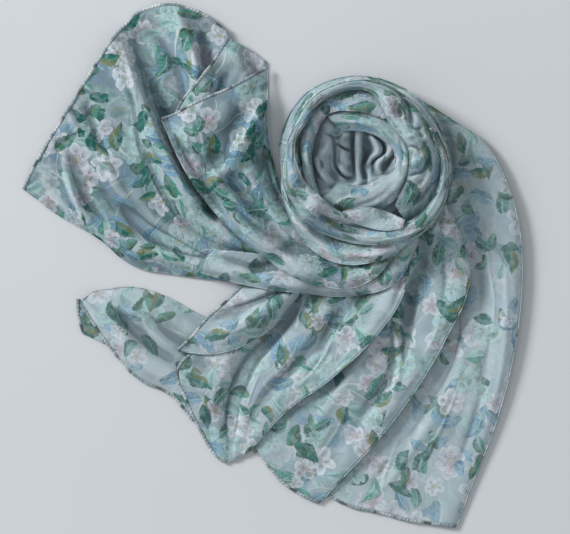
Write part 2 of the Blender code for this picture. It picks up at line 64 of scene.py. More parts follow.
CLOTH = 1.6  # height that one layer of cloth takes up in the pile
CLOTH_ON_SLOPES = 1.7  # the most that it takes on a slope, as a share of that
GAP = 0.3  # between one layer and the next
SETTLED = 0.5  # cloth that would hang lower than this lies on the floor
BRIDGE = 5  # cloth spans dips in what lies below it that are narrower than about twice this
SOFTEN = 4  # half-width of the window that smooths a bed, BED_PASSES times over
BED_PASSES = 3
SETTLE_ROUNDS = 3  # how often a sheet is raised off what it would touch
SETTLE_SOFTEN = 2  # half-width, in steps, over which each raise is spread
REFINE = 4  # how many times finer than its own grid a layer is marked in the pile
SAMPLES_TO_A_POINT = 20  # when a fold line is measured
SAMPLES_TO_A_LINE = 24

COIL_MIDDLE = (365.0, 161.0)
COIL_RADIUS = 76.0  # the hidden layers' foot
COIL_CREST = 37.0  # height of the hidden ring
COIL_CREST_RADIUS = 52.0
COIL_HOLLOW = 16.0  # height of the hidden layers at the coil's middle
COIL_SHOULDER = 0.8  # under 1, the hidden layers' outer side is fuller than a cosine curve
WIND = 1.2  # height of the hidden layers' spiral edges
WIND_STEP = 7.0  # distance between them
MOUND_RINGS = 48
MOUND_SIDES = 128

CREST_AT = 0.45  # a turn's crest, as a share of its width from the outer edge
CORE_RELIEF = 0.7  # share of the core's fold lines that stays under its listed creases
# Turns whose tops are rounder than their fold lines alone would make them.
FULL_TOPS = ("coil_outer_turn", "coil_left_turn", "coil_right_turn", "coil_low_band", "coil_near_band")
TUCKED = ("coil_low_band", "coil_near_band")  # turns whose narrow ends lie close to what is below
TUCK = 65.0  # the length over which such an end is let down
TUCKED_RISE = 0.6  # and the share of its own rise that it loses there

NOISE_SIDE = 64  # random numbers along each side of the table that the small creases come from
NOISE_SHIFT = 7  # how far apart the sizes of small creases are read from it
CREASE_SIZES = ((13.0, 70.0, 1.0), (6.0, 34.0, 0.45), (3.6, 15.0, 0.16))  # width, length, share of the depth
PATCH = 70.0  # size of the patches in which the small creases fade in and out
PATCH_MEAN, PATCH_SWING, PATCH_SEED = 0.55, 0.45, 11
CREASE_POINTS = 60  # points at which a listed crease's line is measured
CREASE_REACH = 4  # how many of its widths a crease reaches
CREASE_END, CREASE_FADE = 0.02, 0.6  # how sharply a crease fades at its ends

EDGES = {"first line": (0, False), "last line": (0, True), "start": (1, False), "end": (1, True)}
LIP_TURNS = (115.0, 75.0, 38.0)  # bearings on the quarter circle and a bit by which a fold edge turns under
FLOOR_CLEAR = 0.1  # the least height of the cloth's face above the floor
CORNER_HEM = 20.0  # how far a hem that turns a corner runs on past it
HEM_STEP = 2.0  # spacing of a rolled hem's rings
HEM_SIDES = 8
HEM_WAVER = 0.07  # how much its thickness varies
HEM_WAVES = (3.1, 7.3)  # the lengths of its two waves, each over 2 pi
HEM_OUT = 0.6  # how far outside the cloth's edge it lies, as a share of its half width
HEM_DROP = 0.3  # how far below the cloth's face, as a share of CLOTH

CLOTH_MAP = "cloth laid flat"
PRINT_STEP = 0.41  # metres on the cloth between one stretch's piece of the print and the next
PRINT_SLANT = 0.37  # and how far that step leans, as a share of it
UNWRAP_ROUNDS = 8  # rounds of work on each sheet's flat map
SHEER = "how sheer"
# Painted light: the number that the materials use to paint fold crests paler, as a highlight, and fold
# hollows darker, as shade.
PAINTED_LIGHT_AND_SHADE = "painted light and shade on folds"
# How far round a point its height is compared, in steps, and the difference that makes the full painted
# highlight on a crest and the full painted shade in a hollow.
PAINTED_LIGHT_REACHES = ((3, 1.4), (9, 5.5))
PAINTED_LIGHT_EDGE = 6  # steps in from an edge over which the tone comes in
WEAVE = 2 * math.pi / 0.0006  # the threads' pitch in metres, as an angle for each metre
BUMP_HEIGHT = 0.0004  # the most that a weave or a thread stands up, in metres
WAVER = 0.007  # how far the print's outlines waver, in metres, over soft noise from 0 to 1

FLOOR_DROP = 0.0002  # how far the floor lies below the cloth, in metres
FLOOR_CLOUDS = (0.5, 0.53, 0.56)  # the faint clouds in the floor's colour
SKY_TINT = (0.93, 0.97, 1.0, 1.0)
SENSOR_WIDTH = 36.0
VIEW_END = 20.0  # how far the camera sees, in metres

laid_so_far = {}  # the pile that the operators add to
materials_made = {}

# name: the fold line. rises: how far the cloth stands above its bed along the line, in even steps.
# path: the line's plan points, from the first edge of the stretch to the last.
Fold = namedtuple("Fold", "name rises path")

# The long side that sweeps round the right. Lines run from the coil down to the end hem.
RIGHT_PANEL = (
    Fold("side edge", (5, 8, 7, 4, 1),
         ((404, 92), (447, 118), (484, 145), (513, 205), (521, 275), (507, 380), (456, 525))),
    Fold("side ridge", (6, 11, 10, 6, 3),
         ((409, 101), (448, 126), (481, 159), (507, 213), (513, 282), (496, 391), (449, 524))),
    Fold("inner slope", (4, 9, 8, 4, 2),
         ((418, 113), (448, 140), (472, 177), (493, 226), (499, 292), (477, 400), (430, 522))),
    Fold("soft valley", (2, 3, 3, 2, 1),
         ((427, 128), (447, 156), (461, 194), (474, 240), (484, 300), (458, 405), (404, 518))),
    Fold("low ridge", (2, 3, 4, 4, 1),
         ((433, 142), (445, 170), (453, 208), (463, 258), (470, 318), (437, 412), (378, 511))),
    Fold("under the fold", (1, 1, 0, 0, 0),
         ((436, 158), (442, 188), (446, 226), (452, 274), (454, 330), (414, 415), (350, 505))),
    Fold("hidden edge", (1, 0, 0, 0, 0),
         ((437, 176), (438, 206), (437, 244), (438, 290), (436, 340), (392, 410), (328, 494))),
)

# The next layer, folded over the right panel. Its tie ridge narrows towards the open edge.
RIGHT_OVERFOLD = (
    Fold("open edge", (7, 9, 8, 5, 1),
         ((441, 198), (461, 242), (468, 280), (440, 347), (394, 418), (320, 501))),
    Fold("tie ridge", (9, 12, 11, 7, 2),
         ((435, 202), (451, 247), (453, 294), (428, 345), (382, 415), (311, 498))),
    Fold("tie crease", (5, 4, 4, 3, 1),
         ((427, 209), (425, 256), (404, 310), (397, 352), (358, 415), (297, 491))),
    Fold("broad ridge", (5, 6, 6, 4, 2),
         ((419, 216), (406, 268), (383, 322), (368, 362), (332, 415), (284, 482))),
    Fold("shaded dip", (2, 2, 1, 1, 1),
         ((410, 224), (390, 282), (364, 328), (342, 368), (308, 410), (270, 466))),
    Fold("hidden edge", (1, 1, 0, 0, 0),
         ((400, 232), (376, 292), (344, 332), (318, 364), (286, 400), (254, 448))),
)

# The middle fan. Its left side runs down to the end hem.
MIDDLE_FAN = (
    Fold("open edge", (6, 8, 7, 4, 1),
         ((412, 246), (400, 298), (375, 335), (330, 378), (285, 411), (251, 449))),
    Fold("first ridge", (7, 10, 8, 5, 2),
         ((402, 249), (389, 295), (364, 332), (321, 372), (277, 405), (247, 452))),
    Fold("soft crease", (4, 5, 5, 3, 2),
         ((380, 254), (360, 296), (334, 328), (303, 361), (265, 397), (241, 455))),
    Fold("second ridge", (6, 9, 8, 5, 2),
         ((352, 258), (330, 300), (306, 328), (281, 358), (253, 393), (236, 458))),
    Fold("dark valley", (2, 1, 0, 0, 1),
         ((322, 264), (300, 302), (272, 336), (249, 362), (238, 396), (230, 460))),
    Fold("third ridge", (5, 8, 8, 6, 2),
         ((292, 270), (268, 308), (244, 338), (225, 366), (217, 400), (224, 460))),
    Fold("dip by the hem", (2, 2, 3, 3, 1),
         ((272, 280), (246, 316), (216, 344), (202, 370), (205, 404), (218, 456))),
    Fold("hem side", (1, 1, 0, 0, 0),
         ((256, 290), (228, 320), (196, 350), (179, 370), (190, 405), (212, 450))),
)

# The near left corner, half under the middle fan. Lines start at its point.
CORNER_PANEL = (
    Fold("hem side", (0, 0, 1, 1), ((83, 304), (108, 342), (135, 374), (174, 396), (194, 420))),
    Fold("hem ridge", (4, 9, 9, 4), ((84, 301), (115, 333), (143, 360), (178, 380), (206, 402))),
    Fold("fold line", (3, 5, 3, 1), ((86, 299), (121, 321), (146, 342), (180, 364), (216, 384))),
    Fold("dark hollow", (3, 7, 1, 0), ((89, 296), (127, 310), (157, 325), (187, 346), (222, 364))),
    Fold("top ridge", (4, 8, 7, 2), ((93, 293), (130, 298), (163, 310), (192, 329), (227, 346))),
    Fold("top edge", (0, 0, 0, 0), ((99, 291), (132, 288), (166, 297), (196, 313), (232, 330))),
)

# A turned-under strip that shows below the corner panel.
CORNER_UNDERLAY = (
    Fold("hem side", (0, 1, 0), ((79, 299), (80, 316), (84, 333))),
    Fold("middle", (2, 3, 1), ((93, 300), (97, 322), (104, 342))),
    Fold("hidden edge", (0, 1, 0), ((110, 302), (116, 326), (126, 351))),
)

# The upper layer over the middle fan's left side. Lines run from its hem to the right.
UPPER_FLAP = (
    Fold("top edge", (1, 1, 1), ((246, 284), (268, 276), (291, 269), (316, 261))),
    Fold("top ridge", (4, 7, 6), ((228, 301), (253, 293), (279, 283), (311, 269))),
    Fold("dip", (2, 2, 2), ((209, 318), (236, 311), (266, 298), (306, 277))),
    Fold("open ridge", (5, 8, 7), ((192, 338), (225, 334), (257, 317), (302, 285))),
    Fold("open edge", (0, 0, 1), ((178, 351), (220, 352), (262, 334), (299, 294))),
)

# The left end of the scarf. Lines run from the end hem to the coil.
LEFT_PANEL = (
    Fold("side edge", (0, 1, 1, 0),
         ((25, 190), (60, 215), (95, 235), (135, 265), (180, 274), (232, 281))),
    Fold("lower ridge", (4, 10, 12, 7),
         ((33, 172), (64, 193), (96, 222), (136, 248), (182, 260), (240, 274))),
    Fold("lower valley", (3, 3, 0, 2),
         ((46, 148), (82, 172), (112, 202), (146, 230), (188, 251), (247, 267))),
    Fold("broad swell", (6, 7, 4, 3),
         ((66, 116), (92, 152), (118, 188), (150, 220), (190, 245), (252, 262))),
    Fold("roll's left foot", (8, 8, 7, 5, 4),
         ((92, 74), (118, 110), (138, 156), (160, 199), (196, 234), (256, 259))),
    Fold("long roll", (12, 22, 24, 20, 10),
         ((110, 46), (136, 93), (157, 144), (182, 189), (213, 224), (263, 255))),
    Fold("roll's right foot", (3, 1, 1, 2, 3),
         ((124, 28), (152, 82), (173, 136), (196, 180), (224, 215), (269, 250))),
    Fold("loop hollow", (2, 1, 3, 3),
         ((142, 12), (171, 62), (188, 118), (208, 170), (236, 208), (276, 244))),
    Fold("loop ridge", (9, 15, 10, 4),
         ((170, 6), (188, 52), (202, 106), (222, 156), (248, 201), (283, 240))),
    Fold("loop dip", (5, 5, 4, 3),
         ((198, 13), (208, 58), (222, 104), (240, 150), (262, 196), (290, 236))),
    Fold("right edge", (6, 6, 3, 1),
         ((224, 30), (240, 72), (254, 112), (268, 148), (280, 190), (298, 232))),
)

# The end's corner, turned back over the loop. Lines run away from the coil's side.
TURNED_CORNER = (
    Fold("doubled hem side", (1, 1, 1), ((229, 40), (205, 76), (181, 106), (172, 128))),
    Fold("swell", (4, 5, 3), ((241, 46), (222, 84), (204, 118), (196, 140))),
    Fold("dip", (2, 2, 1), ((254, 54), (242, 92), (228, 128), (220, 150))),
    Fold("right edge", (1, 1, 1), ((266, 63), (264, 96), (254, 132), (246, 156))),
)

# The band that passes below the coil, over the left panel's tip. Lines run from its left tip to the right.
LOWER_BAND = (
    Fold("open edge", (0, 0, 0, 0, 2),
         ((202, 272), (250, 285), (300, 292), (350, 295), (393, 283), (419, 240))),
    Fold("low ridge", (4, 8, 8, 7, 5),
         ((204, 265), (251, 276), (300, 283), (348, 286), (386, 275), (413, 236))),
    Fold("crease", (4, 4, 3, 3, 3),
         ((207, 258), (252, 266), (300, 273), (345, 276), (379, 266), (406, 232))),
    Fold("hidden edge", (1, 2, 2, 3, 2),
         ((214, 250), (252, 253), (300, 261), (341, 265), (372, 256), (399, 228))),
)

# The top layer of the left end, under its hem. Its lines bend round into the lower band.
LEFT_FLAP = (
    Fold("left edge", (1, 1, 1, 1, 1),
         ((163, 121), (190, 177), (221, 218), (254, 248), (304, 280), (356, 286), (408, 244))),
    Fold("left ridge", (7, 13, 11, 8, 5),
         ((177, 115), (204, 168), (236, 210), (266, 241), (308, 269), (355, 275), (402, 238))),
    Fold("hollow", (4, 1, 2, 3, 3),
         ((198, 104), (219, 157), (249, 204), (277, 233), (314, 260), (355, 265), (396, 232))),
    Fold("right ridge", (6, 11, 10, 7, 5),
         ((234, 88), (244, 145), (263, 196), (288, 226), (320, 250), (355, 255), (391, 227))),
    Fold("right edge", (2, 2, 2, 2, 2),
         ((267, 69), (267, 137), (277, 188), (298, 220), (327, 241), (356, 246), (386, 222))),
)

# The folds inside the coil, from its left wall to its right.
CORE = (
    Fold("left wall", (8, 9, 8), ((303, 200), (300, 160), (310, 122))),
    Fold("left groove", (1, 0, 1), ((315, 206), (312, 162), (320, 120))),
    Fold("left fold", (5, 7, 5), ((326, 207), (322, 166), (330, 119))),
    Fold("dark groove", (1, 0, 1), ((335, 207), (334, 162), (338, 118))),
    Fold("middle fold", (3, 4, 4), ((343, 206), (344, 160), (346, 117))),
    Fold("thin groove", (1, 1, 1), ((351, 205), (351, 160), (352, 117))),
    Fold("grey ridge", (6, 10, 7), ((359, 204), (358, 160), (358, 116))),
    Fold("right groove", (1, 0, 1), ((367, 203), (365, 162), (366, 116))),
    Fold("winding ridge", (6, 11, 7), ((374, 202), (369, 176), (379, 155), (373, 138), (375, 118))),
    Fold("last groove", (2, 3, 2), ((386, 200), (387, 160), (386, 120))),
    Fold("right wall", (4, 5, 4), ((396, 196), (400, 160), (394, 126))),
)

# A turn of the coil. first and last: its bearings in degrees, anticlockwise from east. rise: how far its
# crest stands above its bed. radii: its outer edge. widths: how broad it is. Both are in even steps from
# the first bearing to the last.
Turn = namedtuple("Turn", "name first last rise radii widths")

# Lowest first. They are narrow on the left and broad where they come round to the near side and the right.
TURNS = (
    Turn(
        "coil_core_ring", -138, 130, 8,
        (69, 57, 48, 49, 48, 46, 51, 60),
        (34, 30, 26, 20, 18, 19, 22, 20),
    ),
    Turn(
        "coil_outer_turn", -45, 203, 6,
        (93, 86.5, 79, 80.5, 84.7, 88.8, 86.3, 83),
        (12, 12, 13, 11, 10, 10, 10, 9),
    ),
    Turn("coil_left_turn", 66, 222, 9, (71, 76, 78, 72, 68, 70), (26, 27, 19, 16, 13, 9)),
    Turn(
        "coil_right_turn", -56, 196, 9,
        (80, 76.5, 70, 73, 78.5, 80.5, 78, 75),
        (26, 31, 26, 31, 10, 7, 7, 7),
    ),
    Turn(
        "coil_low_band", 180, 350, 8,
        (83, 89, 99, 105, 100, 92, 91, 88),
        (4, 12, 23, 27, 24, 17, 10, 5),
    ),
    Turn(
        "coil_near_band", 140, 385, 7,
        (74, 79, 84, 86, 82, 83.5, 89, 87, 82, 75),
        (4, 6, 17, 27, 23, 20, 14, 9, 6, 4),
    ),
)

# A small fold that lies on the near band like a leaf.
LEAF_FOLD = (
    Fold("far edge", (0, 1, 0), ((343, 213), (364, 209), (384, 213), (402, 221))),
    Fold("crest", (1, 4, 1), ((344, 216), (365, 217), (385, 221), (401, 224))),
    Fold("near edge", (0, 1, 0), ((346, 219), (364, 226), (384, 230), (400, 228))),
)

# path: the crease's line. height: above 0 for a ridge, and below 0 for a trough. width: where it has
# fallen to about a third.
Crease = namedtuple("Crease", "height width path")

CREASES = {
    "left_panel": (
        Crease(-11, 11, ((144, 40), (160, 66), (176, 100))),
        Crease(6.5, 5, ((176, 16), (190, 44), (197, 72), (193, 96))),
        Crease(-5.2, 7, ((200, 30), (206, 52), (204, 70))),
        Crease(-5.2, 4, ((122, 66), (134, 108), (144, 152), (162, 192), (190, 228))),
        Crease(3.9, 5, ((126, 60), (142, 98), (158, 140), (180, 182), (206, 216))),
        Crease(-7, 2.4, ((156, 104), (171, 132), (187, 164), (203, 194), (229, 219), (246, 243))),
        Crease(-3, 5, ((146, 60), (156, 86), (164, 112))),
        Crease(4.5, 7, ((148, 106), (162, 134), (178, 166), (196, 196), (216, 217), (234, 236))),
        Crease(-8.5, 8, ((122, 196), (146, 228), (174, 245), (202, 260))),
        Crease(-9.1, 7, ((196, 198), (208, 212), (222, 224))),
        Crease(3.9, 3.5, ((60, 92), (70, 116), (80, 134))),
        Crease(3.9, 3.5, ((60, 146), (68, 178), (78, 204), (92, 224), (112, 242))),
        Crease(-3.9, 6, ((72, 160), (82, 188), (98, 214), (122, 236))),
        Crease(-3.9, 6, ((84, 98), (92, 124), (106, 156))),
        Crease(3.2, 4, ((100, 150), (116, 184), (136, 212))),
        Crease(2.6, 3.5, ((40, 176), (62, 204), (88, 226))),
        Crease(2.2, 1.5, ((122, 46), (131, 72), (138, 104), (142, 142), (150, 176), (164, 204), (186, 230))),
        Crease(1.2, 1.3, ((66, 106), (72, 118), (79, 130))),
        Crease(1.9, 1.4, ((64, 174), (70, 190), (78, 204), (92, 220))),
        Crease(2, 1.5, ((68, 176), (77, 204), (88, 225), (106, 241), (138, 257), (170, 266))),
        Crease(1.3, 1.3, ((108, 44), (116, 55), (127, 70))),
        Crease(1.2, 1.4, ((152, 120), (166, 152), (184, 186), (206, 214))),
        Crease(1.2, 1.3, ((170, 20), (182, 40), (190, 60), (192, 84))),
        Crease(-1.5, 2, ((136, 60), (147, 96), (150, 128))),
        Crease(1, 1.3, ((92, 140), (104, 170), (120, 196))),
    ),
    "left_flap": (
        Crease(7.8, 8, ((269, 90), (254, 126), (238, 154), (220, 176), (206, 190))),
        Crease(-9.1, 11, ((244, 104), (230, 132), (216, 158), (207, 174))),
        Crease(3.9, 5, ((176, 124), (190, 150), (202, 178))),
        Crease(-5.2, 7, ((262, 150), (272, 178), (284, 208))),
        Crease(3.9, 5, ((212, 196), (238, 222), (266, 246), (300, 264))),
        Crease(-3.2, 4, ((226, 196), (250, 222), (276, 242))),
        Crease(1.8, 1.4, ((184, 122), (187, 136), (188, 150))),
        Crease(1.4, 1.5, ((268, 106), (250, 130), (239, 148), (232, 168))),
        Crease(1.7, 1.4, ((196, 118), (203, 140), (205, 160))),
        Crease(1.3, 1.5, ((206, 196), (228, 222), (256, 246), (290, 264))),
        Crease(1, 1.3, ((250, 176), (266, 204), (286, 228))),
    ),
    "turned_corner": (
        Crease(-2.5, 5, ((236, 60), (218, 92), (200, 122))),
        Crease(2, 4, ((252, 66), (238, 92), (222, 122))),
    ),
    "middle_fan": (
        Crease(-4, 5, ((296, 314), (276, 336), (262, 352), (244, 366))),
        Crease(-2.5, 6, ((342, 286), (334, 318), (322, 352), (304, 380))),
        Crease(-4, 6, ((258, 350), (243, 381), (232, 401), (231, 425), (228, 442))),
        Crease(2, 4, ((362, 296), (344, 326), (316, 358), (284, 388))),
        Crease(2, 4, ((310, 336), (286, 362), (262, 388), (246, 416))),
        Crease(-2.5, 4, ((414, 240), (402, 274), (394, 306))),
        Crease(-2.5, 3, ((250, 360), (234, 378), (228, 410), (223, 436))),
        Crease(-2.5, 2.5, ((288, 322), (262, 350), (246, 364))),
        Crease(1.8, 1.5, ((337, 304), (329, 346), (311, 374), (298, 386))),
        Crease(1.2, 1.4, ((306, 296), (300, 312), (296, 330))),
        Crease(1.2, 1.4, ((260, 372), (252, 392), (246, 410))),
    ),
    "upper_flap": (
        Crease(-3, 5, ((307, 284), (295, 305), (284, 322))),
        Crease(2.5, 4, ((216, 330), (244, 322), (272, 306))),
        Crease(-2, 4, ((226, 312), (254, 302), (284, 286))),
        Crease(1.2, 1.4, ((293, 314), (299, 296), (312, 288))),
        Crease(1.1, 1.3, ((206, 336), (236, 330), (262, 318))),
    ),
    "corner_panel": (
        Crease(3.5, 5, ((120, 304), (146, 321), (160, 338), (178, 352))),
        Crease(-4, 6, ((112, 310), (134, 328), (156, 350), (176, 364))),
        Crease(2, 4, ((104, 304), (122, 330), (140, 352))),
        Crease(-2, 4, ((94, 306), (108, 330), (128, 352))),
        Crease(1.6, 1.6, ((123, 310), (142, 316), (150, 330), (166, 343), (178, 350))),
        Crease(1.1, 1.3, ((104, 300), (116, 314), (124, 330))),
    ),
    "lower_band": (
        Crease(2, 4, ((214, 270), (250, 279), (300, 287), (350, 289))),
        Crease(-2, 4, ((230, 262), (270, 270), (320, 275), (366, 272))),
    ),
    "right_overfold": (
        Crease(4, 3, ((394, 300), (398, 338), (399, 368), (392, 398))),
        Crease(-2.5, 6, ((412, 286), (408, 330), (392, 372), (356, 420))),
        Crease(2, 5, ((384, 320), (352, 372), (316, 424), (292, 460))),
        Crease(-2, 5, ((440, 236), (444, 284), (430, 330))),
        Crease(1.6, 1.5, ((389, 296), (396, 344), (394, 392))),
        Crease(1.2, 1.4, ((440, 300), (436, 330), (424, 356))),
        Crease(1.0, 1.3, ((350, 400), (336, 432), (318, 458))),
    ),
    "right_panel": (
        Crease(-3, 8, ((452, 300), (456, 340), (440, 390), (404, 440))),
        Crease(1.2, 6, ((478, 300), (474, 360), (448, 430), (420, 486))),
        Crease(1.2, 3, ((500, 236), (506, 300), (500, 372), (480, 444))),
        Crease(-2, 5, ((492, 330), (478, 400), (456, 470))),
        Crease(2, 4, ((430, 420), (400, 466), (372, 500))),
        Crease(1.4, 1.5, ((486, 222), (488, 262), (494, 300), (492, 340))),
        Crease(1.1, 1.4, ((462, 380), (440, 430), (418, 470))),
        Crease(1.1, 1.3, ((398, 440), (388, 466), (380, 492))),
    ),
    "coil_core": (
        Crease(5, 5, ((309, 124), (305, 146), (306, 172), (313, 196))),
        Crease(-6, 1.6, ((317, 134), (313, 146), (311, 160), (316, 174), (325, 184))),
        Crease(6, 4.2, ((328, 138), (327, 149), (319, 157), (316, 165), (321, 176), (331, 184), (342, 187))),
        Crease(-4, 1.7, ((318, 158), (321, 166), (319, 173))),
        Crease(-9, 1.7, ((330, 134), (333, 143), (334, 155), (335, 167), (343, 177), (352, 181))),
        Crease(3.5, 3.5, ((338, 166), (345, 174), (352, 177))),
        Crease(-6, 1.5, ((335, 144), (345, 150), (353, 152))),
        Crease(3.5, 4.5, ((340, 152), (344, 160), (350, 167))),
        Crease(3, 2.2, ((337, 140), (343, 136), (350, 135))),
        Crease(-8, 1.5, ((353, 134), (352, 148), (353, 162), (355, 181))),
        Crease(4.5, 3.8, ((357, 132), (360, 148), (358, 164), (360, 182))),
        Crease(-6, 1.6, ((361, 146), (366, 156), (361, 166), (363, 178))),
        Crease(7, 3, ((363, 134), (374, 143), (377, 152), (368, 162), (366, 170), (371, 180))),
        Crease(-9, 1.6, ((372, 136), (382, 144), (383, 153), (373, 163), (373, 174))),
        Crease(7, 3.2, ((378, 132), (390, 144), (388, 154), (378, 164), (380, 177))),
        Crease(-6, 1.6, ((392, 142), (396, 152), (389, 162), (384, 172))),
        Crease(5, 3.5, ((316, 197), (336, 191), (360, 184), (382, 179))),
        Crease(-7, 1.6, ((314, 206), (330, 203), (346, 199), (362, 190))),
        Crease(2, 3, ((322, 126), (338, 130), (352, 126))),
        Crease(-5, 1.6, ((324, 135), (336, 139), (345, 134))),
    ),
    "coil_core_ring": (
        Crease(-2.5, 3, ((344, 121), (362, 119), (382, 126), (398, 144))),
        Crease(2.5, 3, ((334, 204), (352, 198), (372, 190), (392, 176))),
        Crease(-2.5, 3, ((340, 208), (360, 205), (380, 196), (396, 182))),
        Crease(2, 2.5, ((330, 118), (350, 112), (368, 113))),
        Crease(1.5, 1.6, ((332, 124), (350, 123), (368, 127), (384, 138), (394, 152))),
        Crease(1.3, 1.5, ((346, 192), (364, 188), (384, 178), (398, 162))),
        Crease(-1.8, 1.6, ((398, 140), (402, 156), (400, 172))),
    ),
    "coil_right_turn": (
        Crease(-3, 3, ((394, 126), (401, 138), (404, 152))),
        Crease(-2.5, 3, ((372, 92), (380, 104), (388, 118), (398, 132))),
        Crease(3.5, 3, ((386, 92), (397, 102), (402, 112), (404, 124), (412, 134))),
        Crease(-2.5, 2, ((392, 92), (404, 104), (409, 116), (412, 124))),
        Crease(1.8, 3, ((412, 108), (415, 120), (413, 132), (418, 146), (424, 160))),
        Crease(-1.8, 2, ((406, 128), (414, 131), (422, 128))),
        Crease(2.5, 2, ((404, 140), (411, 137), (419, 141), (427, 138))),
        Crease(-3, 2, ((404, 150), (412, 148), (420, 153))),
        Crease(3.5, 3, ((424, 150), (418, 162), (404, 168), (399, 178))),
        Crease(-3.5, 2.2, ((428, 158), (420, 172), (408, 178), (401, 190))),
        Crease(3.5, 3, ((430, 168), (424, 184), (412, 194), (404, 204))),
        Crease(-2.5, 2, ((428, 186), (420, 198), (410, 207))),
        Crease(2, 1.6, ((396, 196), (404, 188), (409, 176))),
        Crease(1.6, 1.6, ((398, 104), (408, 112), (416, 112), (424, 118))),
    ),
    "coil_left_turn": (
        Crease(2.5, 3, ((376, 96), (350, 97), (326, 105), (309, 124))),
        Crease(-2.5, 3, ((372, 103), (350, 104), (330, 111), (315, 130))),
        Crease(3, 3.2, ((312, 120), (307, 146), (309, 172), (317, 194))),
        Crease(-2.4, 1.8, ((303, 118), (299, 146), (302, 174), (310, 198))),
        Crease(-2.5, 2, ((316, 142), (310, 150), (305, 152))),
        Crease(-3, 2.6, ((330, 110), (326, 118), (323, 128))),
        Crease(1.4, 1.5, ((313, 108), (322, 98), (338, 92), (356, 92))),
    ),
    "coil_outer_turn": (
        Crease(-1.5, 2, ((430, 120), (404, 94), (368, 82), (332, 89), (304, 112), (292, 146))),
    ),
    "coil_near_band": (
        Crease(2.5, 4, ((308, 216), (330, 230), (356, 236), (384, 234), (408, 226))),
        Crease(-4, 2.6, ((300, 190), (314, 210), (338, 222), (362, 227), (388, 229), (412, 222))),
        Crease(2.5, 2, ((300, 186), (315, 204), (339, 216), (363, 221), (390, 222))),
        Crease(-2, 3, ((302, 212), (322, 232), (350, 239), (380, 240))),
        Crease(1.4, 1.5, ((312, 224), (340, 236), (372, 241), (400, 237), (424, 226))),
        Crease(1.2, 1.4, ((296, 198), (312, 216), (332, 228))),
        Crease(-1.6, 1.6, ((330, 226), (352, 233), (376, 235))),
    ),
    "coil_low_band": (
        Crease(2.5, 4, ((296, 214), (314, 238), (342, 253), (372, 255), (400, 244))),
        Crease(-2.5, 4, ((292, 222), (310, 246), (340, 260), (370, 261))),
        Crease(1.3, 1.5, ((300, 226), (322, 244), (352, 255), (384, 253))),
    ),
}


# ---- the shape of the cloth -------------------------------------------------------------------------


def smooth_through(values, knots, at):
    """Cubic pieces through the values at the knots. The slope at a knot is the mean of the slopes of the two
    spans that meet there, and the two tangents of a piece are blended by the curve 3t^2 - 2t^3."""
    values = np.asarray(values, float)
    spans = np.diff(knots)
    slopes = np.diff(values, axis=0) / spans.reshape(-1, *[1] * (values.ndim - 1))
    tangents = np.concatenate([slopes[:1], 0.5 * (slopes[1:] + slopes[:-1]), slopes[-1:]])
    piece = np.clip(np.searchsorted(knots, at, side="right") - 1, 0, len(spans) - 1)
    width = spans[piece].reshape(-1, *[1] * (values.ndim - 1))
    t = ((at - knots[piece]) / spans[piece]).reshape(-1, *[1] * (values.ndim - 1))
    start = values[piece] + t * width * tangents[piece] * (1 - t)
    end = values[piece + 1] - (1 - t) * width * tangents[piece + 1] * t
    blend = t * t * (3 - 2 * t)
    return start * (1 - blend) + end * blend


def even_steps(count):
    """Numbers from 0 to 1 in even steps."""
    return np.linspace(0.0, 1.0, count)


def lengths_along(points, axis):
    """Distance travelled along one axis of a grid of points, from 0 at its start."""
    steps = np.linalg.norm(np.diff(points, axis=axis), axis=-1)
    pad = [(0, 0)] * steps.ndim
    pad[axis] = (1, 0)
    return np.cumsum(np.pad(steps, pad), axis=axis)


def turn_folds(turn):
    """A turn of the coil as three fold lines. At a bearing a and a radius r, a line's point is at
    COIL_MIDDLE + r (cos a, -sin a)."""
    bearings = np.radians(np.linspace(turn.first, turn.last, len(turn.radii)))
    ways = np.stack([np.cos(bearings), -np.sin(bearings)], axis=1)
    folds = []
    lines = (("outer edge", 0.0, 1), ("crest", CREST_AT, turn.rise), ("inner edge", 1.0, 1))
    for name, share, rise in lines:
        radii = np.array(turn.radii) - share * np.array(turn.widths)
        end = 0.5 * (1 + rise)
        folds.append(Fold(name, (end, rise, rise, rise, end), COIL_MIDDLE + radii[:, None] * ways))
    return folds


def line_points(fold, count):
    """Points evenly spaced along a fold line, as (count, 3): east, south and rise."""
    path = np.array(fold.path, float)
    chords = lengths_along(path, 0)
    fine = smooth_through(path, chords, np.linspace(0.0, chords[-1], SAMPLES_TO_A_POINT * len(path)))
    lengths = lengths_along(fine, 0)
    wanted = even_steps(count) * lengths[-1]
    plan = np.stack([np.interp(wanted, lengths, fine[:, axis]) for axis in range(2)], axis=1)
    rise = smooth_through(fold.rises, even_steps(len(fold.rises)), even_steps(count))
    return np.column_stack([plan, rise])


def sheet_points(folds, across_step, along_step):
    """The smooth sheet through the fold lines, as an (across, along, 3) grid."""
    sample = np.stack([line_points(fold, SAMPLES_TO_A_LINE) for fold in folds])
    along_length = lengths_along(sample[..., :2], 1)[:, -1].max()
    steps = np.linalg.norm(np.diff(sample[..., :2], axis=0), axis=2)
    knots = np.concatenate([[0.0], np.cumsum(steps.mean(axis=1))])
    along = int(round(along_length / along_step)) + 1
    across = int(round(steps.sum(axis=0).max() / across_step)) + 1
    lines = np.stack([line_points(fold, along) for fold in folds])
    grid = smooth_through(lines, knots, np.linspace(0.0, knots[-1], across))
    grid[..., 2] = np.maximum(grid[..., 2], 0.0)
    return grid


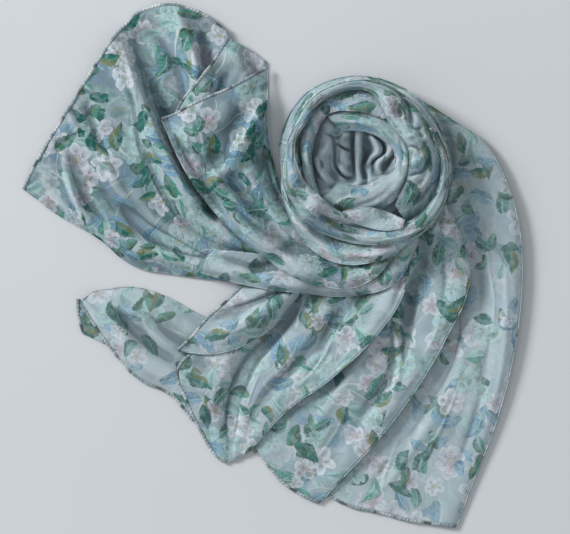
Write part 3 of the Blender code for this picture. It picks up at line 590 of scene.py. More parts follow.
def soft_noise(across, along, seed):
    """Noise from -1 to 1: a random number at each whole point, blended between them by 3t^2 - 2t^3."""
    table = np.random.default_rng(seed).uniform(-1.0, 1.0, (NOISE_SIDE, NOISE_SIDE))
    column, row = np.floor(across).astype(int), np.floor(along).astype(int)
    t, s = across - column, along - row
    t, s = t * t * (3 - 2 * t), s * s * (3 - 2 * s)

    def corner(east, north):
        return table[(column + east) % NOISE_SIDE, (row + north) % NOISE_SIDE]

    near = corner(0, 0) * (1 - t) + corner(1, 0) * t
    far = corner(0, 1) * (1 - t) + corner(1, 1) * t
    return near * (1 - s) + far * s


def fine_creases(grid, depth, seed):
    """Small creases that run with the folds: three sizes of noise, each far longer along than across, that
    fade in and out in patches."""
    across = lengths_along(grid[..., :2], 0)
    along = lengths_along(grid[..., :2], 1)
    total = 0.0
    for number, (wide, long, share) in enumerate(CREASE_SIZES):
        place = across / wide + NOISE_SHIFT * number
        total = total + share * soft_noise(place, along / long, seed + number)
    patches = PATCH_MEAN + PATCH_SWING * soft_noise(across / PATCH, along / PATCH, seed + PATCH_SEED)
    return depth * total * patches


def crease_relief(plan, creases):
    """The height that the listed creases add at plan points. Each is a ridge, or a trough where its height is
    negative: height times exp(-(d / width)^2), where d is the distance to its line, faded at both ends."""
    total = np.zeros(plan.shape[:-1])
    for crease in creases:
        line = line_points(Fold("", (0, 0), crease.path), CREASE_POINTS)[:, :2]
        reach = CREASE_REACH * crease.width
        low, high = line.min(axis=0) - reach, line.max(axis=0) + reach
        near = ((plan > low) & (plan < high)).all(axis=-1)
        if not near.any():
            continue
        away = np.linalg.norm(plan[near][:, None] - line, axis=2)
        nearest = away.argmin(axis=1)
        share = nearest / (CREASE_POINTS - 1)
        fade = np.sin(np.pi * np.clip(share, CREASE_END, 1 - CREASE_END)) ** CREASE_FADE
        total[near] += crease.height * fade * np.exp(-((away.min(axis=1) / crease.width) ** 2))
    return total


def running_mean(values, reach, axis):
    """The mean of the values within reach on both sides of each one, along one axis."""
    pad = [(0, 0), (0, 0)]
    pad[axis] = (reach + 1, reach)
    total = np.cumsum(np.pad(values, pad, mode="edge"), axis=axis)
    window = 2 * reach + 1
    count = values.shape[axis]
    after = np.take(total, np.arange(window, window + count), axis=axis)
    before = np.take(total, np.arange(count), axis=axis)
    return (after - before) / window


def painted_light_on_folds(over):
    """From -1 in a deep hollow to 1 on a sharp crest: the height less its mean round about, over two
    distances, each as a share of its own height. The materials paint shade in the hollows and a highlight on
    the crests from it."""
    total = 0.0
    for reach, height in PAINTED_LIGHT_REACHES:
        soft = over[..., 2]
        for axis in (0, 1, 0, 1):
            soft = running_mean(soft, reach, axis)
        total = total + (over[..., 2] - soft) / height
    across, along = (np.minimum(np.arange(count), np.arange(count)[::-1]) for count in over.shape[:2])
    inward = np.minimum(across[:, None], along) / PAINTED_LIGHT_EDGE
    return np.clip(total * np.clip(inward, 0.0, 1.0), -1.0, 1.0)


def refined(grid, times):
    """The grid with straight steps put between its points, that many times as fine along both axes."""
    for axis in (0, 1):
        grid = np.moveaxis(grid, axis, 0)
        at = np.linspace(0, len(grid) - 1, (len(grid) - 1) * times + 1)
        low = np.minimum(at.astype(int), len(grid) - 2)
        share = (at - low).reshape(-1, 1, 1)
        grid = np.moveaxis(grid[low] * (1 - share) + grid[low + 1] * share, 0, axis)
    return grid


class Pile:
    """The height of everything laid down so far, on a grid of 1 mm cells."""

    def __init__(self):
        self.height = np.zeros((LAYOUT_SIDE, LAYOUT_SIDE))

    def cells(self, points):
        """The rows and columns of the cells that points lie in."""
        column, row = np.moveaxis(np.clip(np.rint(points[..., :2]), 0, LAYOUT_SIDE - 1).astype(int), -1, 0)
        return row, column

    def lay(self, grid):
        """Adds a sheet to the pile."""
        spots = refined(grid, REFINE).reshape(-1, 3)
        np.maximum.at(self.height, self.cells(spots), spots[:, 2])

    def highest_within(self, reach):
        """The highest point within reach of each cell, along both axes."""
        found = self.height
        for axis in (0, 1):
            shifted = [np.roll(found, step, axis) for step in range(-reach, reach + 1)]
            found = np.maximum.reduce(shifted)
        return found

    def bed(self):
        """The smooth surface that a cloth let down on the pile would follow."""
        soft = self.highest_within(BRIDGE)
        for axis in (0, 1) * BED_PASSES:
            soft = running_mean(soft, SOFTEN, axis)
        return soft

    def settle(self, grid):
        """Raises a grid softly wherever it is nearer than GAP to what lies below it."""
        nearby = self.highest_within(1)[self.cells(grid)]
        lowest = np.where(nearby > 0, nearby + GAP, 0.0)
        for _ in range(SETTLE_ROUNDS):
            lift = np.maximum(lowest - grid[..., 2], 0.0)
            for axis in (0, 1):
                lift = np.maximum(lift, running_mean(lift, SETTLE_SOFTEN, axis))
            grid[..., 2] += lift
        return grid


def tuck(grid):
    """How closely each point of a turn lies on the pile: 1 at the turn's two ends, 0 beyond TUCK of them."""
    from_start = lengths_along(grid[..., :2], 1)
    nearest = np.minimum(from_start, from_start[:, -1:] - from_start)
    share = np.clip(1 - nearest / TUCK, 0.0, 1.0)
    return share * share * (3 - 2 * share)


def steepness(grid):
    """How much longer a straight drop through a level-thick cloth is than its thickness: 1 / normal z."""
    normals = np.cross(np.gradient(grid, axis=0), np.gradient(grid, axis=1))
    upright = np.abs(normals[..., 2]) / np.maximum(np.linalg.norm(normals, axis=-1), 1e-9)
    return np.minimum(1.0 / np.maximum(upright, 1e-6), CLOTH_ON_SLOPES)


def with_lips(grid, edges, radius):
    """The grid with its fold edges carried on round a quarter circle and a bit, down and back under."""
    turns = np.radians(LIP_TURNS)
    for edge, (axis, at_end) in EDGES.items():
        if edge not in edges:
            continue
        grid = np.moveaxis(grid, axis, 0)
        if at_end:
            grid = grid[::-1]
        way = grid[0, :, :2] - grid[2, :, :2]
        way /= np.maximum(np.linalg.norm(way, axis=1), 1e-9)[:, None]
        rows = np.repeat(grid[:1], len(turns), axis=0)
        rows[..., :2] += radius * np.sin(turns)[:, None, None] * way
        rows[..., 2] -= radius * (1 - np.cos(turns))[:, None]
        rows[..., 2] = np.maximum(rows[..., 2], CLOTH)
        grid = np.concatenate([rows[::-1], grid])
        if at_end:
            grid = grid[::-1]
        grid = np.moveaxis(grid, 0, axis)
    return grid


def to_world(points):
    """Layout millimetres to metres in the world, +Y to the north."""
    east, south, up = points[..., 0], points[..., 1], points[..., 2]
    return np.stack([east - LAYOUT_MIDDLE[0], LAYOUT_MIDDLE[1] - south, up], axis=-1) * MM


def quads_of(across, along, wrap=False):
    """The four corners of each cell of a grid, row by row. wrap joins the last column to the first."""
    row = np.arange(across - 1)[:, None] * along
    column = np.arange(along if wrap else along - 1)
    after = (column + 1) % along
    corners = [row + column, row + after, row + along + after, row + along + column]
    return np.stack(corners, axis=-1).reshape(-1, 4)


def mesh_object(name, points, faces, material):
    """A smooth mesh object at the origin, with its points in the world's own coordinates."""
    mesh = bpy.data.meshes.new(name)
    mesh.from_pydata(points.reshape(-1, 3).tolist(), [], faces)
    mesh.materials.append(material)
    mesh.shade_smooth()
    made = bpy.data.objects.new(name, mesh)
    bpy.context.scene.collection.objects.link(made)
    return made


def face_outwards(mesh):
    """Joins the points that lie together and turns the faces of a closed mesh outwards."""
    tidy = bmesh.new()
    tidy.from_mesh(mesh)
    bmesh.ops.remove_doubles(tidy, verts=tidy.verts, dist=1e-7)
    bmesh.ops.recalc_face_normals(tidy, faces=tidy.faces)
    tidy.to_mesh(mesh)
    tidy.free()


def stand_for(made, node):
    """Lets a piece stand for a node of the frame, on its one body."""
    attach(made, "root")
    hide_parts(node)


def set_float(mesh, name, values):
    """Gives each point of a mesh a number."""
    layer = mesh.attributes.new(name, "FLOAT", "POINT")
    layer.data.foreach_set("value", np.ascontiguousarray(values, np.float32).ravel())


def facing_up(faces, grid):
    """A world grid's faces, turned so that most of them face up."""
    corners = grid.reshape(-1, 3)[faces]
    normals = np.cross(corners[:, 1] - corners[:, 0], corners[:, 3] - corners[:, 0])
    return faces[:, ::-1] if normals[:, 2].sum() < 0 else faces


def flatten_cloth(made, grid, number):
    """Gives a sheet a UV map that is the cloth laid flat, in metres: the unwrap that stretches it least,
    scaled so that its area is the cloth's, and turned so that its second coordinate runs along the folds."""
    bpy.ops.object.select_all(action="DESELECT")
    bpy.context.view_layer.objects.active = made
    made.select_set(True)
    made.data.uv_layers.new(name=CLOTH_MAP)
    bpy.ops.object.mode_set(mode="EDIT")
    bpy.ops.mesh.select_all(action="SELECT")
    bpy.ops.uv.unwrap(method="MINIMUM_STRETCH", iterations=UNWRAP_ROUNDS, margin=0.0)
    bpy.ops.object.mode_set(mode="OBJECT")
    mesh = made.data
    flat = np.empty(len(mesh.loops) * 2, np.float32)
    mesh.uv_layers[CLOTH_MAP].uv.foreach_get("vector", flat)
    flat = flat.reshape(-1, 4, 2).astype(float)
    loops = np.empty(len(mesh.loops), np.int32)
    mesh.loops.foreach_get("vertex_index", loops)
    loops = loops.reshape(-1, 4)
    corners = grid.reshape(-1, 3)[loops]
    first, second = corners[:, 2] - corners[:, 0], corners[:, 3] - corners[:, 1]
    area = 0.5 * np.linalg.norm(np.cross(first, second), axis=1).sum()
    first, second = flat[:, 2] - flat[:, 0], flat[:, 3] - flat[:, 1]
    mapped = 0.5 * np.abs((first[:, 0] * second[:, 1] - first[:, 1] * second[:, 0]).sum())
    flat *= math.sqrt(area / max(mapped, 1e-12))
    along = grid.shape[1]
    by_point = np.zeros((grid.shape[0] * along, 2))
    by_point[loops.reshape(-1)] = flat.reshape(-1, 2)
    by_point = by_point.reshape(grid.shape[0], along, 2)
    heading = (by_point[:, -1] - by_point[:, 0]).sum(axis=0)
    heading /= np.linalg.norm(heading)
    turn = np.array([[heading[1], heading[0]], [-heading[0], heading[1]]])
    flat = flat @ turn + PRINT_STEP * np.array([number, PRINT_SLANT * number])
    mesh.uv_layers[CLOTH_MAP].uv.foreach_set("vector", flat.astype(np.float32).ravel())


def declare_sheet(grid):
    """Works out the mean width and the mean length of the sheet, in metres, and does nothing more with them.
    """
    width = lengths_along(grid, 0)[-1].mean()
    length = lengths_along(grid, 1)[:, -1].mean()


def border(over, edge):
    """The points of a sheet along the named edge, in order."""
    corner = int(CORNER_HEM / np.linalg.norm(over[1, -1, :2] - over[0, -1, :2]))
    return {
        "first line": over[0],
        "start": over[:, 0],
        "end": over[:, -1],
        "last line and corner": np.concatenate([over[-1], over[-2 : -2 - corner : -1, -1]]),
    }[edge]


def hem_tube(over, edge, sizes):
    """A rolled hem just outside one edge of a sheet: an oval ring carried along the edge, closed at both
    ends. Its own waver is a sum of two sines of the length. Returns its points and their lengths along it."""
    line = border(over, edge).copy()
    middle = over.reshape(-1, 3).mean(axis=0)
    length = lengths_along(line, 0)
    count = max(8, int(length[-1] / HEM_STEP))
    wanted = np.linspace(0.0, length[-1], count)
    line = np.stack([np.interp(wanted, length, line[:, axis]) for axis in range(3)], axis=1)
    tangent = np.gradient(line, axis=0)
    tangent /= np.linalg.norm(tangent, axis=1)[:, None]
    out = np.stack([tangent[:, 1], -tangent[:, 0], np.zeros(count)], axis=1)
    out /= np.linalg.norm(out, axis=1)[:, None]
    out *= np.sign((out[:, :2] * (line[:, :2] - middle[:2])).sum())
    short, long = HEM_WAVES
    waver = 1.0 + HEM_WAVER * (np.sin(wanted / short) + np.sin(wanted / long + 1.0))
    half, tall = sizes.hem_width / MM / 2 * waver, sizes.hem_height / MM / 2 * waver
    line = line + out * (HEM_OUT * half[:, None])
    line[:, 2] = np.maximum(line[:, 2] - HEM_DROP * CLOTH, tall + FLOOR_CLEAR)
    ring = np.linspace(0, 2 * np.pi, HEM_SIDES, endpoint=False)
    up = np.array([0.0, 0.0, 1.0])
    round_it = np.cos(ring)[None, :, None] * half[:, None, None] * out[:, None]
    round_it = round_it + np.sin(ring)[None, :, None] * tall[:, None, None] * up
    tube = line[:, None] + round_it
    first = np.repeat(line[:1, None], HEM_SIDES, axis=1)
    last = np.repeat(line[-1:, None], HEM_SIDES, axis=1)
    return np.concatenate([first, tube, last]), np.concatenate([wanted[:1], wanted, wanted[-1:]])


def add_hem(stretch, over, sizes):
    """The rolled hem of one stretch as a piece, with its length in metres in the first UV coordinate."""
    tube, length = hem_tube(over, stretch.hem, sizes)
    faces = quads_of(*tube.shape[:2], wrap=True)
    made = mesh_object(
        stretch.name + "_rolled_hem", to_world(tube), faces.tolist(), materials_made["rolled_hem"]
    )
    uv = made.data.uv_layers.new(name=CLOTH_MAP)
    flat = np.stack([np.repeat(length * MM, HEM_SIDES), np.tile(np.arange(HEM_SIDES), len(length))], axis=1)
    uv.uv.foreach_set("vector", flat[faces.reshape(-1)].astype(np.float32).ravel())
    face_outwards(made.data)
    stand_for(made, stretch.name + "_hem")
    return made


# name: the stretch, as its node in the frame is called. hem: the edge that carries the rolled hem. lips: the
# edges where the cloth turns under, and lip: the radius at which it does. sheer: how much it fades, from 0
# where it lies in many layers to 1 where it is single. held and rests_on: how it lies, and on which pieces.
Stretch = namedtuple("Stretch", "name folds hem lips lip sheer held rests_on")

RIGHT_SIDE = (
    Stretch("right_panel", RIGHT_PANEL, "end", ("first line",), 1.0, 0.95, "laid", ("coil_inner_layers",)),
    Stretch(
        "right_overfold", RIGHT_OVERFOLD, "end", ("first line",), 1.0, 0.55, "laid",
        ("right_panel_cloth",),
    ),
)
NEAR_CORNER = (
    Stretch("corner_underlay", CORNER_UNDERLAY, "first line", ("end",), 0.7, 0.7, "laid", ()),
    Stretch(
        "corner_panel", CORNER_PANEL, "first line", ("last line", "start"), 0.7, 1.0, "laid",
        ("corner_underlay_cloth",),
    ),
)
MIDDLE = (
    Stretch(
        "middle_fan", MIDDLE_FAN, "last line and corner", ("first line", "end"), 1.0, 0.6, "laid",
        ("right_overfold_cloth", "corner_panel_cloth", "coil_inner_layers"),
    ),
    Stretch(
        "upper_flap", UPPER_FLAP, "start", ("first line", "last line"), 0.6, 0.8, "laid",
        ("middle_fan_cloth",),
    ),
)
LEFT_END = (
    Stretch(
        "left_panel", LEFT_PANEL, "start", ("first line", "last line"), 0.6, 0.05, "laid",
        ("upper_flap_cloth",),
    ),
    Stretch(
        "turned_corner", TURNED_CORNER, "first line", ("start",), 0.6, 0.3, "laid",
        ("left_panel_cloth",),
    ),
    Stretch(
        "lower_band", LOWER_BAND, None, ("first line", "start"), 0.6, 0.75, "laid",
        ("left_panel_cloth", "middle_fan_cloth", "coil_inner_layers"),
    ),
    Stretch(
        "left_flap", LEFT_FLAP, "start", ("first line", "last line"), 0.6, 0.05, "laid",
        ("turned_corner_cloth", "left_panel_cloth", "lower_band_cloth"),
    ),
)
ALL_EDGES = tuple(EDGES)
COIL = (
    Stretch("coil_core", CORE, None, (), 1.0, 0.0, "gathered", ("coil_inner_layers",)),
    *(
        Stretch(turn.name, turn_folds(turn), None, ALL_EDGES, 0.6, 0.5, "folded", ("coil_inner_layers",))
        for turn in TURNS
    ),
    Stretch("coil_leaf_fold", LEAF_FOLD, None, ALL_EDGES, 0.6, 0.8, "folded", ("coil_near_band_cloth",)),
)


# ---- the print, worked out by nodes -----------------------------------------------------------------


class Term:
    """A number that nodes work out. It takes the signs of arithmetic, each of which adds one Math node."""

    def __init__(self, tree, socket):
        self.tree, self.socket = tree, socket

    def __add__(self, other):
        return worked(self.tree, "ADD", self, other)

    def __radd__(self, other):
        return worked(self.tree, "ADD", other, self)

    def __sub__(self, other):
        return worked(self.tree, "SUBTRACT", self, other)

    def __rsub__(self, other):
        return worked(self.tree, "SUBTRACT", other, self)

    def __mul__(self, other):
        return worked(self.tree, "MULTIPLY", self, other)

    def __rmul__(self, other):
        return worked(self.tree, "MULTIPLY", other, self)

    def __truediv__(self, other):
        return worked(self.tree, "DIVIDE", self, other)

    def __pow__(self, other):
        return worked(self.tree, "POWER", self, other)

    def __abs__(self):
        return worked(self.tree, "ABSOLUTE", self)

    def __gt__(self, other):
        return worked(self.tree, "GREATER_THAN", self, other)


def feed(tree, value, socket):
    """Links a term or a node's socket into another socket, or sets a plain number or colour on it."""
    if isinstance(value, Term):
        value = value.socket
    if isinstance(value, bpy.types.NodeSocket):
        tree.links.new(value, socket)
    elif socket.type == "RGBA":
        socket.default_value = (*value, 1.0)
    else:
        socket.default_value = value


def worked(tree, operation, *values):
    """A Math node's result."""
    node = tree.nodes.new("ShaderNodeMath")
    node.operation = operation
    for value, socket in zip(values, node.inputs):
        feed(tree, value, socket)
    return Term(tree, node.outputs[0])


def sine(term):
    return worked(term.tree, "SINE", term)


def cosine(term):
    return worked(term.tree, "COSINE", term)


def eased(term, low, high):
    """0 up to low and 1 from high on, with 3t^2 - 2t^3 between them. It falls where low is above high."""
    node = term.tree.nodes.new("ShaderNodeMapRange")
    node.interpolation_type = "SMOOTHSTEP"
    for value, socket in zip((term, low, high), node.inputs):
        feed(term.tree, value, socket)
    return Term(term.tree, node.outputs[0])


def blended(tree, share, first, second, kind="RGBA"):
    """first where share is 0, and second where it is 1."""
    node = tree.nodes.new("ShaderNodeMix")
    node.data_type = kind
    at, out = {"RGBA": (6, 2), "VECTOR": (4, 1)}[kind]
    feed(tree, share, node.inputs[0])
    feed(tree, first, node.inputs[at])
    feed(tree, second, node.inputs[at + 1])
    return node.outputs[out]


def carried(tree, name):
    """The number of that name that each point of the piece carries."""
    node = tree.nodes.new("ShaderNodeAttribute")
    node.attribute_name = name
    return Term(tree, node.outputs["Fac"])


def raised(tree, shader, height, strength):
    """Lets a term stand up from the shader's surface as a slight bump."""
    bump = tree.nodes.new("ShaderNodeBump")
    bump.inputs["Strength"].default_value = strength
    bump.inputs["Distance"].default_value = BUMP_HEIGHT
    feed(tree, height, bump.inputs["Height"])
    tree.links.new(bump.outputs["Normal"], shader.inputs["Normal"])


def parted(tree, vector):
    """The three numbers of a vector."""
    node = tree.nodes.new("ShaderNodeSeparateXYZ")
    feed(tree, vector, node.inputs[0])
    return [Term(tree, socket) for socket in node.outputs]


def clouds(tree, place, size, detail=2.0, shift=0.0):
    """Soft noise about 0.5, whose patches are about size metres wide."""
    moved = tree.nodes.new("ShaderNodeVectorMath")
    moved.operation = "ADD"
    feed(tree, place, moved.inputs[0])
    moved.inputs[1].default_value = (shift, 1.7 * shift, 0.0)
    node = tree.nodes.new("ShaderNodeTexNoise")
    node.noise_dimensions = "2D"
    feed(tree, moved.outputs[0], node.inputs["Vector"])
    node.inputs["Scale"].default_value = 1.0 / size
    node.inputs["Detail"].default_value = detail
    return Term(tree, node.outputs["Fac"])


def chosen(tree, term, colours):
    """One of the colours, in equal steps of a number from 0 to 1."""
    node = tree.nodes.new("ShaderNodeValToRGB")
    ramp = node.color_ramp
    ramp.interpolation = "CONSTANT"
    while len(ramp.elements) < len(colours):
        ramp.elements.new(1.0)
    for number, colour in enumerate(colours):
        ramp.elements[number].position = number / len(colours)
        ramp.elements[number].color = (*colour, 1.0)
    feed(tree, term, node.inputs[0])
    return node.outputs["Color"]


def opened_group(name):
    """A node group that draws one motif, from the offset to its middle and three random numbers."""
    tree = bpy.data.node_groups.new(name, "ShaderNodeTree")
    for socket in ("Offset", "Dice"):
        tree.interface.new_socket(name=socket, in_out="INPUT", socket_type="NodeSocketVector")
    tree.interface.new_socket(name="Cover", in_out="OUTPUT", socket_type="NodeSocketFloat")
    tree.interface.new_socket(name="Colour", in_out="OUTPUT", socket_type="NodeSocketColor")
    given = tree.nodes.new("NodeGroupInput")
    return tree, given.outputs["Offset"], given.outputs["Dice"]


def closed_group(tree, cover, colour):
    """Ends a motif's group with how much it covers and its colour."""
    out = tree.nodes.new("NodeGroupOutput")
    feed(tree, cover, out.inputs["Cover"])
    feed(tree, colour, out.inputs["Colour"])
    return tree


def draw_blossom(look):
    """A blossom of five round petals. With r the distance from its middle over its radius, the bearing is
    folded into one fifth of a turn, b from -36 to 36 degrees. x = r cos b and y = r sin b. A petal is the
    circle of radius 0.41 round x = 0.58, with a notch at its tip. A thin outline follows it, a thread runs
    up its middle to two stamens, and the blush fades outwards."""
    tree, offset, dice = opened_group("Scarf blossom")
    east, north, _ = parted(tree, offset)
    turn, size, blush = parted(tree, dice)
    away = worked(tree, "SQRT", east * east + north * north)
    radius = away / (look.blossom_size * 0.5 * (0.72 + 0.5 * size))
    fifth = worked(tree, "ARCTAN2", north, east) * (2.5 / math.pi) + turn * 5.0
    bent = (worked(tree, "FRACT", fifth) - 0.5) * (0.4 * math.pi)
    x, y = radius * cosine(bent), abs(radius * sine(bent))
    notch = 0.22 * eased(y, 0.10, 0.0) * eased(x, 0.84, 0.98)
    away = worked(tree, "SQRT", (x - 0.58) * (x - 0.58) + y * y) / 0.41 + notch
    rim = eased(abs(away - 0.95), 0.11, 0.03)
    side = abs(y - 0.30 * (x - 0.14))
    thread = worked(tree, "MAXIMUM", eased(y, 0.035, 0.008), eased(side, 0.03, 0.008) * 0.7)
    thread = thread * eased(x, 0.16, 0.24) * eased(x, 0.68, 0.52)
    stamen = eased(abs(x - 0.40), 0.06, 0.02) * eased(abs(y - 0.07), 0.06, 0.02)
    petals = blended(tree, eased(blush, 0.42, 0.38), look.blossom_white, look.blossom_mint)
    colour = blended(tree, eased(radius, 0.95, 0.15) * eased(blush, 0.4, 0.9), petals, look.blossom_blush)
    dark = worked(tree, "MAXIMUM", rim * 0.50, thread * 0.55)
    colour = blended(tree, dark, colour, look.outline)
    colour = blended(tree, stamen * 0.8, colour, look.stamen)
    colour = blended(tree, eased(radius, 0.20, 0.08) * 0.8, colour, look.heart)
    body = eased(away, 1.02, 0.95) * (0.58 + 0.34 * eased(away, 0.3, 0.9) + 0.3 * eased(radius, 0.5, 0.2))
    cover = worked(tree, "MAXIMUM", body, eased(radius, 0.26, 0.20) * 0.8)
    return closed_group(tree, cover, colour)


def draw_leaf(look):
    """A pointed leaf. With s from -1 at its stalk to 1 at its tip, and t across it, both over its half
    length, t is bent by 0.2 s^2 and its half width is 0.48 (1 - s^2)^0.75 (1 - 0.28 s) with a fine saw
    edge. Its two halves differ in colour, with a pale rib and side veins at |t| - s in even steps."""
    tree, offset, dice = opened_group("Scarf leaf")
    east, north, _ = parted(tree, offset)
    turn, kind, size = parted(tree, dice)
    angle = turn * (2 * math.pi)
    half_length = look.leaf_length * 0.5 * (0.7 + 0.5 * size)
    along = (east * cosine(angle) - north * sine(angle)) / half_length
    across = (east * sine(angle) + north * cosine(angle)) / half_length
    bent = across + 0.20 * along * along - 0.08
    room = worked(tree, "MAXIMUM", 1.0 - along * along, 0.0)
    half = 0.48 * room**0.75 * (1.0 - 0.28 * along) + 0.03 * sine(along * 26.0 + 8.0 * abs(bent)) * room
    within = half - abs(bent)
    cover = eased(within, 0.0, 0.07)
    rib = eased(abs(bent), 0.06, 0.015)
    vein = eased(abs(sine((along - 0.75 * abs(bent)) * 11.0)), 0.32, 0.08) * 0.45
    edge = eased(within, 0.12, 0.04)
    green, dark, gold, blue, sea, mint = (
        look.leaf_green, look.leaf_dark, look.leaf_gold, look.leaf_blue, look.leaf_sea, look.leaf_mint
    )
    left = chosen(tree, kind, (green, dark, mint, blue, dark, mint, blue, green))
    right = chosen(tree, kind, (dark, gold, green, sea, dark, mint, blue, dark))
    lines = chosen(tree, kind, (mint, green, mint, mint, green, sea, mint, gold))
    colour = blended(tree, eased(bent, -0.05, 0.05), left, right)
    colour = blended(tree, eased(abs(bent) + 0.25 * along, 0.38, 0.0) * 0.45, colour, dark)
    strokes = eased(clouds(tree, offset, 0.0035, 1.0), 0.42, 0.62)
    colour = blended(tree, strokes * 0.18, colour, lines)
    colour = blended(tree, worked(tree, "MAXIMUM", rib, vein) * 0.65, colour, lines)
    colour = blended(tree, edge * 0.45, colour, look.outline)
    return closed_group(tree, cover, colour)


def scattered(tree, under, place, motif, spacing, strength, clusters, above, shift):
    """The colour under, with motifs strewn over it. Each stands on a Voronoi point, one to a square of the
    spacing on average. A point carries one where soft noise at that point is above a level, so that they
    come in clusters. The two nearest points are drawn, and the one with the greater dice lies on top. Soft
    noise wavers the outlines and thins the dye in places."""
    waver = [(clouds(tree, place, 0.016, 0.0, shift + step) - 0.5) * WAVER for step in (0.0, 3.3)]
    wavered = tree.nodes.new("ShaderNodeCombineXYZ")
    for term, socket in zip(waver, wavered.inputs):
        feed(tree, term + shift, socket)
    moved = tree.nodes.new("ShaderNodeVectorMath")
    moved.operation = "ADD"
    feed(tree, place, moved.inputs[0])
    tree.links.new(wavered.outputs[0], moved.inputs[1])
    found = []
    for feature in ("F1", "F2"):
        points = tree.nodes.new("ShaderNodeTexVoronoi")
        points.voronoi_dimensions = "2D"
        points.feature = feature
        tree.links.new(moved.outputs[0], points.inputs["Vector"])
        points.inputs["Scale"].default_value = 1.0 / spacing
        points.inputs["Randomness"].default_value = 0.85
        offset = tree.nodes.new("ShaderNodeVectorMath")
        offset.operation = "SUBTRACT"
        tree.links.new(moved.outputs[0], offset.inputs[0])
        tree.links.new(points.outputs["Position"], offset.inputs[1])
        found.append((offset.outputs[0], points.outputs["Color"], points.outputs["Position"]))
    first, second = [parted(tree, dice)[2] for _, dice, _ in found]
    swap = first > second
    for share in (1.0 - swap, swap):
        offset, dice, middle = [blended(tree, share, near, far, "VECTOR") for near, far in zip(*found)]
        drawn = tree.nodes.new("ShaderNodeGroup")
        drawn.node_tree = motif
        tree.links.new(offset, drawn.inputs["Offset"])
        tree.links.new(dice, drawn.inputs["Dice"])
        present = eased(clouds(tree, middle, clusters, 0.0, shift), above, above + 0.02)
        thin = 0.62 + 0.38 * eased(clouds(tree, place, 0.007, 1.5, shift), 0.36, 0.60)
        cover = Term(tree, drawn.outputs["Cover"]) * present * thin * strength
        under = blended(tree, cover, under, drawn.outputs["Colour"])
    return under


def new_material(name, roughness):
    """A cloth's material, with its tree and its shader."""
    material = bpy.data.materials.new(name)
    material.use_nodes = True
    shader = material.node_tree.nodes["Principled BSDF"]
    shader.inputs["Roughness"].default_value = roughness
    shader.inputs["Specular IOR Level"].default_value = 0.25
    shader.inputs["Sheen Weight"].default_value = 0.12
    shader.inputs["Sheen Roughness"].default_value = 0.5
    return material, material.node_tree, shader


def woven(tree, shader, place):
    """The cloth's fine grain: two crossed sets of threads, softened by noise, as a slight bump."""
    east, north, _ = parted(tree, place)
    crossed = sine(east * WEAVE) * sine(north * WEAVE) * 0.35 + clouds(tree, place, 0.0009, 1.0)
    raised(tree, shader, crossed, 0.35)


def flat_place(tree):
    """Where a point of the piece is on the cloth laid flat, in metres."""
    node = tree.nodes.new("ShaderNodeUVMap")
    node.uv_map = CLOTH_MAP
    return node.outputs["UV"]


def ground_colour(tree, place, look):
    """The dyed ground: pale and dark clouds of one grey blue-green, with washes of blue."""
    # Size, detail and shift of the clouds, the noise where a dye starts and is full, its strength, the dye.
    dyes = (
        (0.045, 2.0, 0.0, 0.36, 0.66, 1.0, look.ground),
        (0.030, 2.0, 3.1, 0.50, 0.74, 0.5, look.ground_pale),
        (0.024, 1.0, 5.3, 0.58, 0.74, 0.4, look.wash_blue),
    )
    ground = look.ground_dark
    for size, detail, shift, low, high, strength, dye in dyes:
        share = eased(clouds(tree, place, size, detail, shift), low, high) * strength
        ground = blended(tree, share, ground, dye)
    return ground


def printed_chiffon(look):
    """The printed cloth, from the ground up: ghosts of the print on the layer below, stems, leaves, then
    blossoms. It is paler where it lies single. A painted highlight pales it on a sharp crest, and painted
    shade darkens it in a hollow."""
    material, tree, shader = new_material("printed_chiffon", 0.8)
    place = flat_place(tree)
    blossom, leaf = draw_blossom(look), draw_leaf(look)
    bold = look.boldness
    colour = ground_colour(tree, place, look)
    # Each motif's spacing, strength, size of clusters, the noise above which it stands, and its shift.
    colour = scattered(tree, colour, place, leaf, look.leaf_spacing, 0.55 * bold, 0.05, 0.44, 7.7)
    colour = scattered(tree, colour, place, blossom, look.blossom_spacing, 0.45 * bold, 0.07, 0.48, 4.4)
    paler = carried(tree, SHEER) * look.sheerness
    colour = blended(tree, paler, colour, look.sheer_tint)
    painted_light = carried(tree, PAINTED_LIGHT_AND_SHADE)
    # Painted highlight: sharp fold crests are paled towards the crest colour.
    colour = blended(tree, eased(painted_light, 0.2, 0.9) * 0.36, colour, look.crest)
    colour = with_stems(tree, colour, place, look)
    colour = scattered(tree, colour, place, leaf, look.leaf_spacing, bold * 1.15, 0.05, 0.47, 2.2)
    colour = scattered(tree, colour, place, blossom, look.blossom_spacing, bold * 1.08, 0.06, 0.45, 0.0)
    colour = scattered(tree, colour, place, leaf, look.leaf_spacing * 1.2, bold * 1.15, 0.04, 0.56, 9.1)
    colour = blended(tree, paler * 0.3, colour, look.sheer_tint)
    # Painted shade: fold hollows are darkened towards the hollow colour.
    colour = blended(tree, eased(painted_light, 0.0, -0.9) * 0.55, colour, look.hollow)
    feed(tree, colour, shader.inputs["Base Color"])
    woven(tree, shader, place)
    return material


def with_stems(tree, under, place, look):
    """The colour under, with thin bent stems over it. They run where the sine of a slanting distance, bent
    by soft noise, passes through 0, and come and go along their length."""
    east, north, _ = parted(tree, place)
    for slant, shift in ((0.9, 1.9), (-0.5, 6.1)):
        bend = (clouds(tree, place, 0.070, 0.0, shift) - 0.5) * 6.0
        phase = (east * math.cos(slant) + north * math.sin(slant)) * (math.pi / look.stem_spacing) + bend
        line = eased(abs(sine(phase)), 0.062, 0.018)
        drawn = eased(clouds(tree, place, 0.045, 0.0, shift + 1.0), 0.42, 0.5)
        under = blended(tree, line * drawn * look.boldness, under, look.stem)
    return under


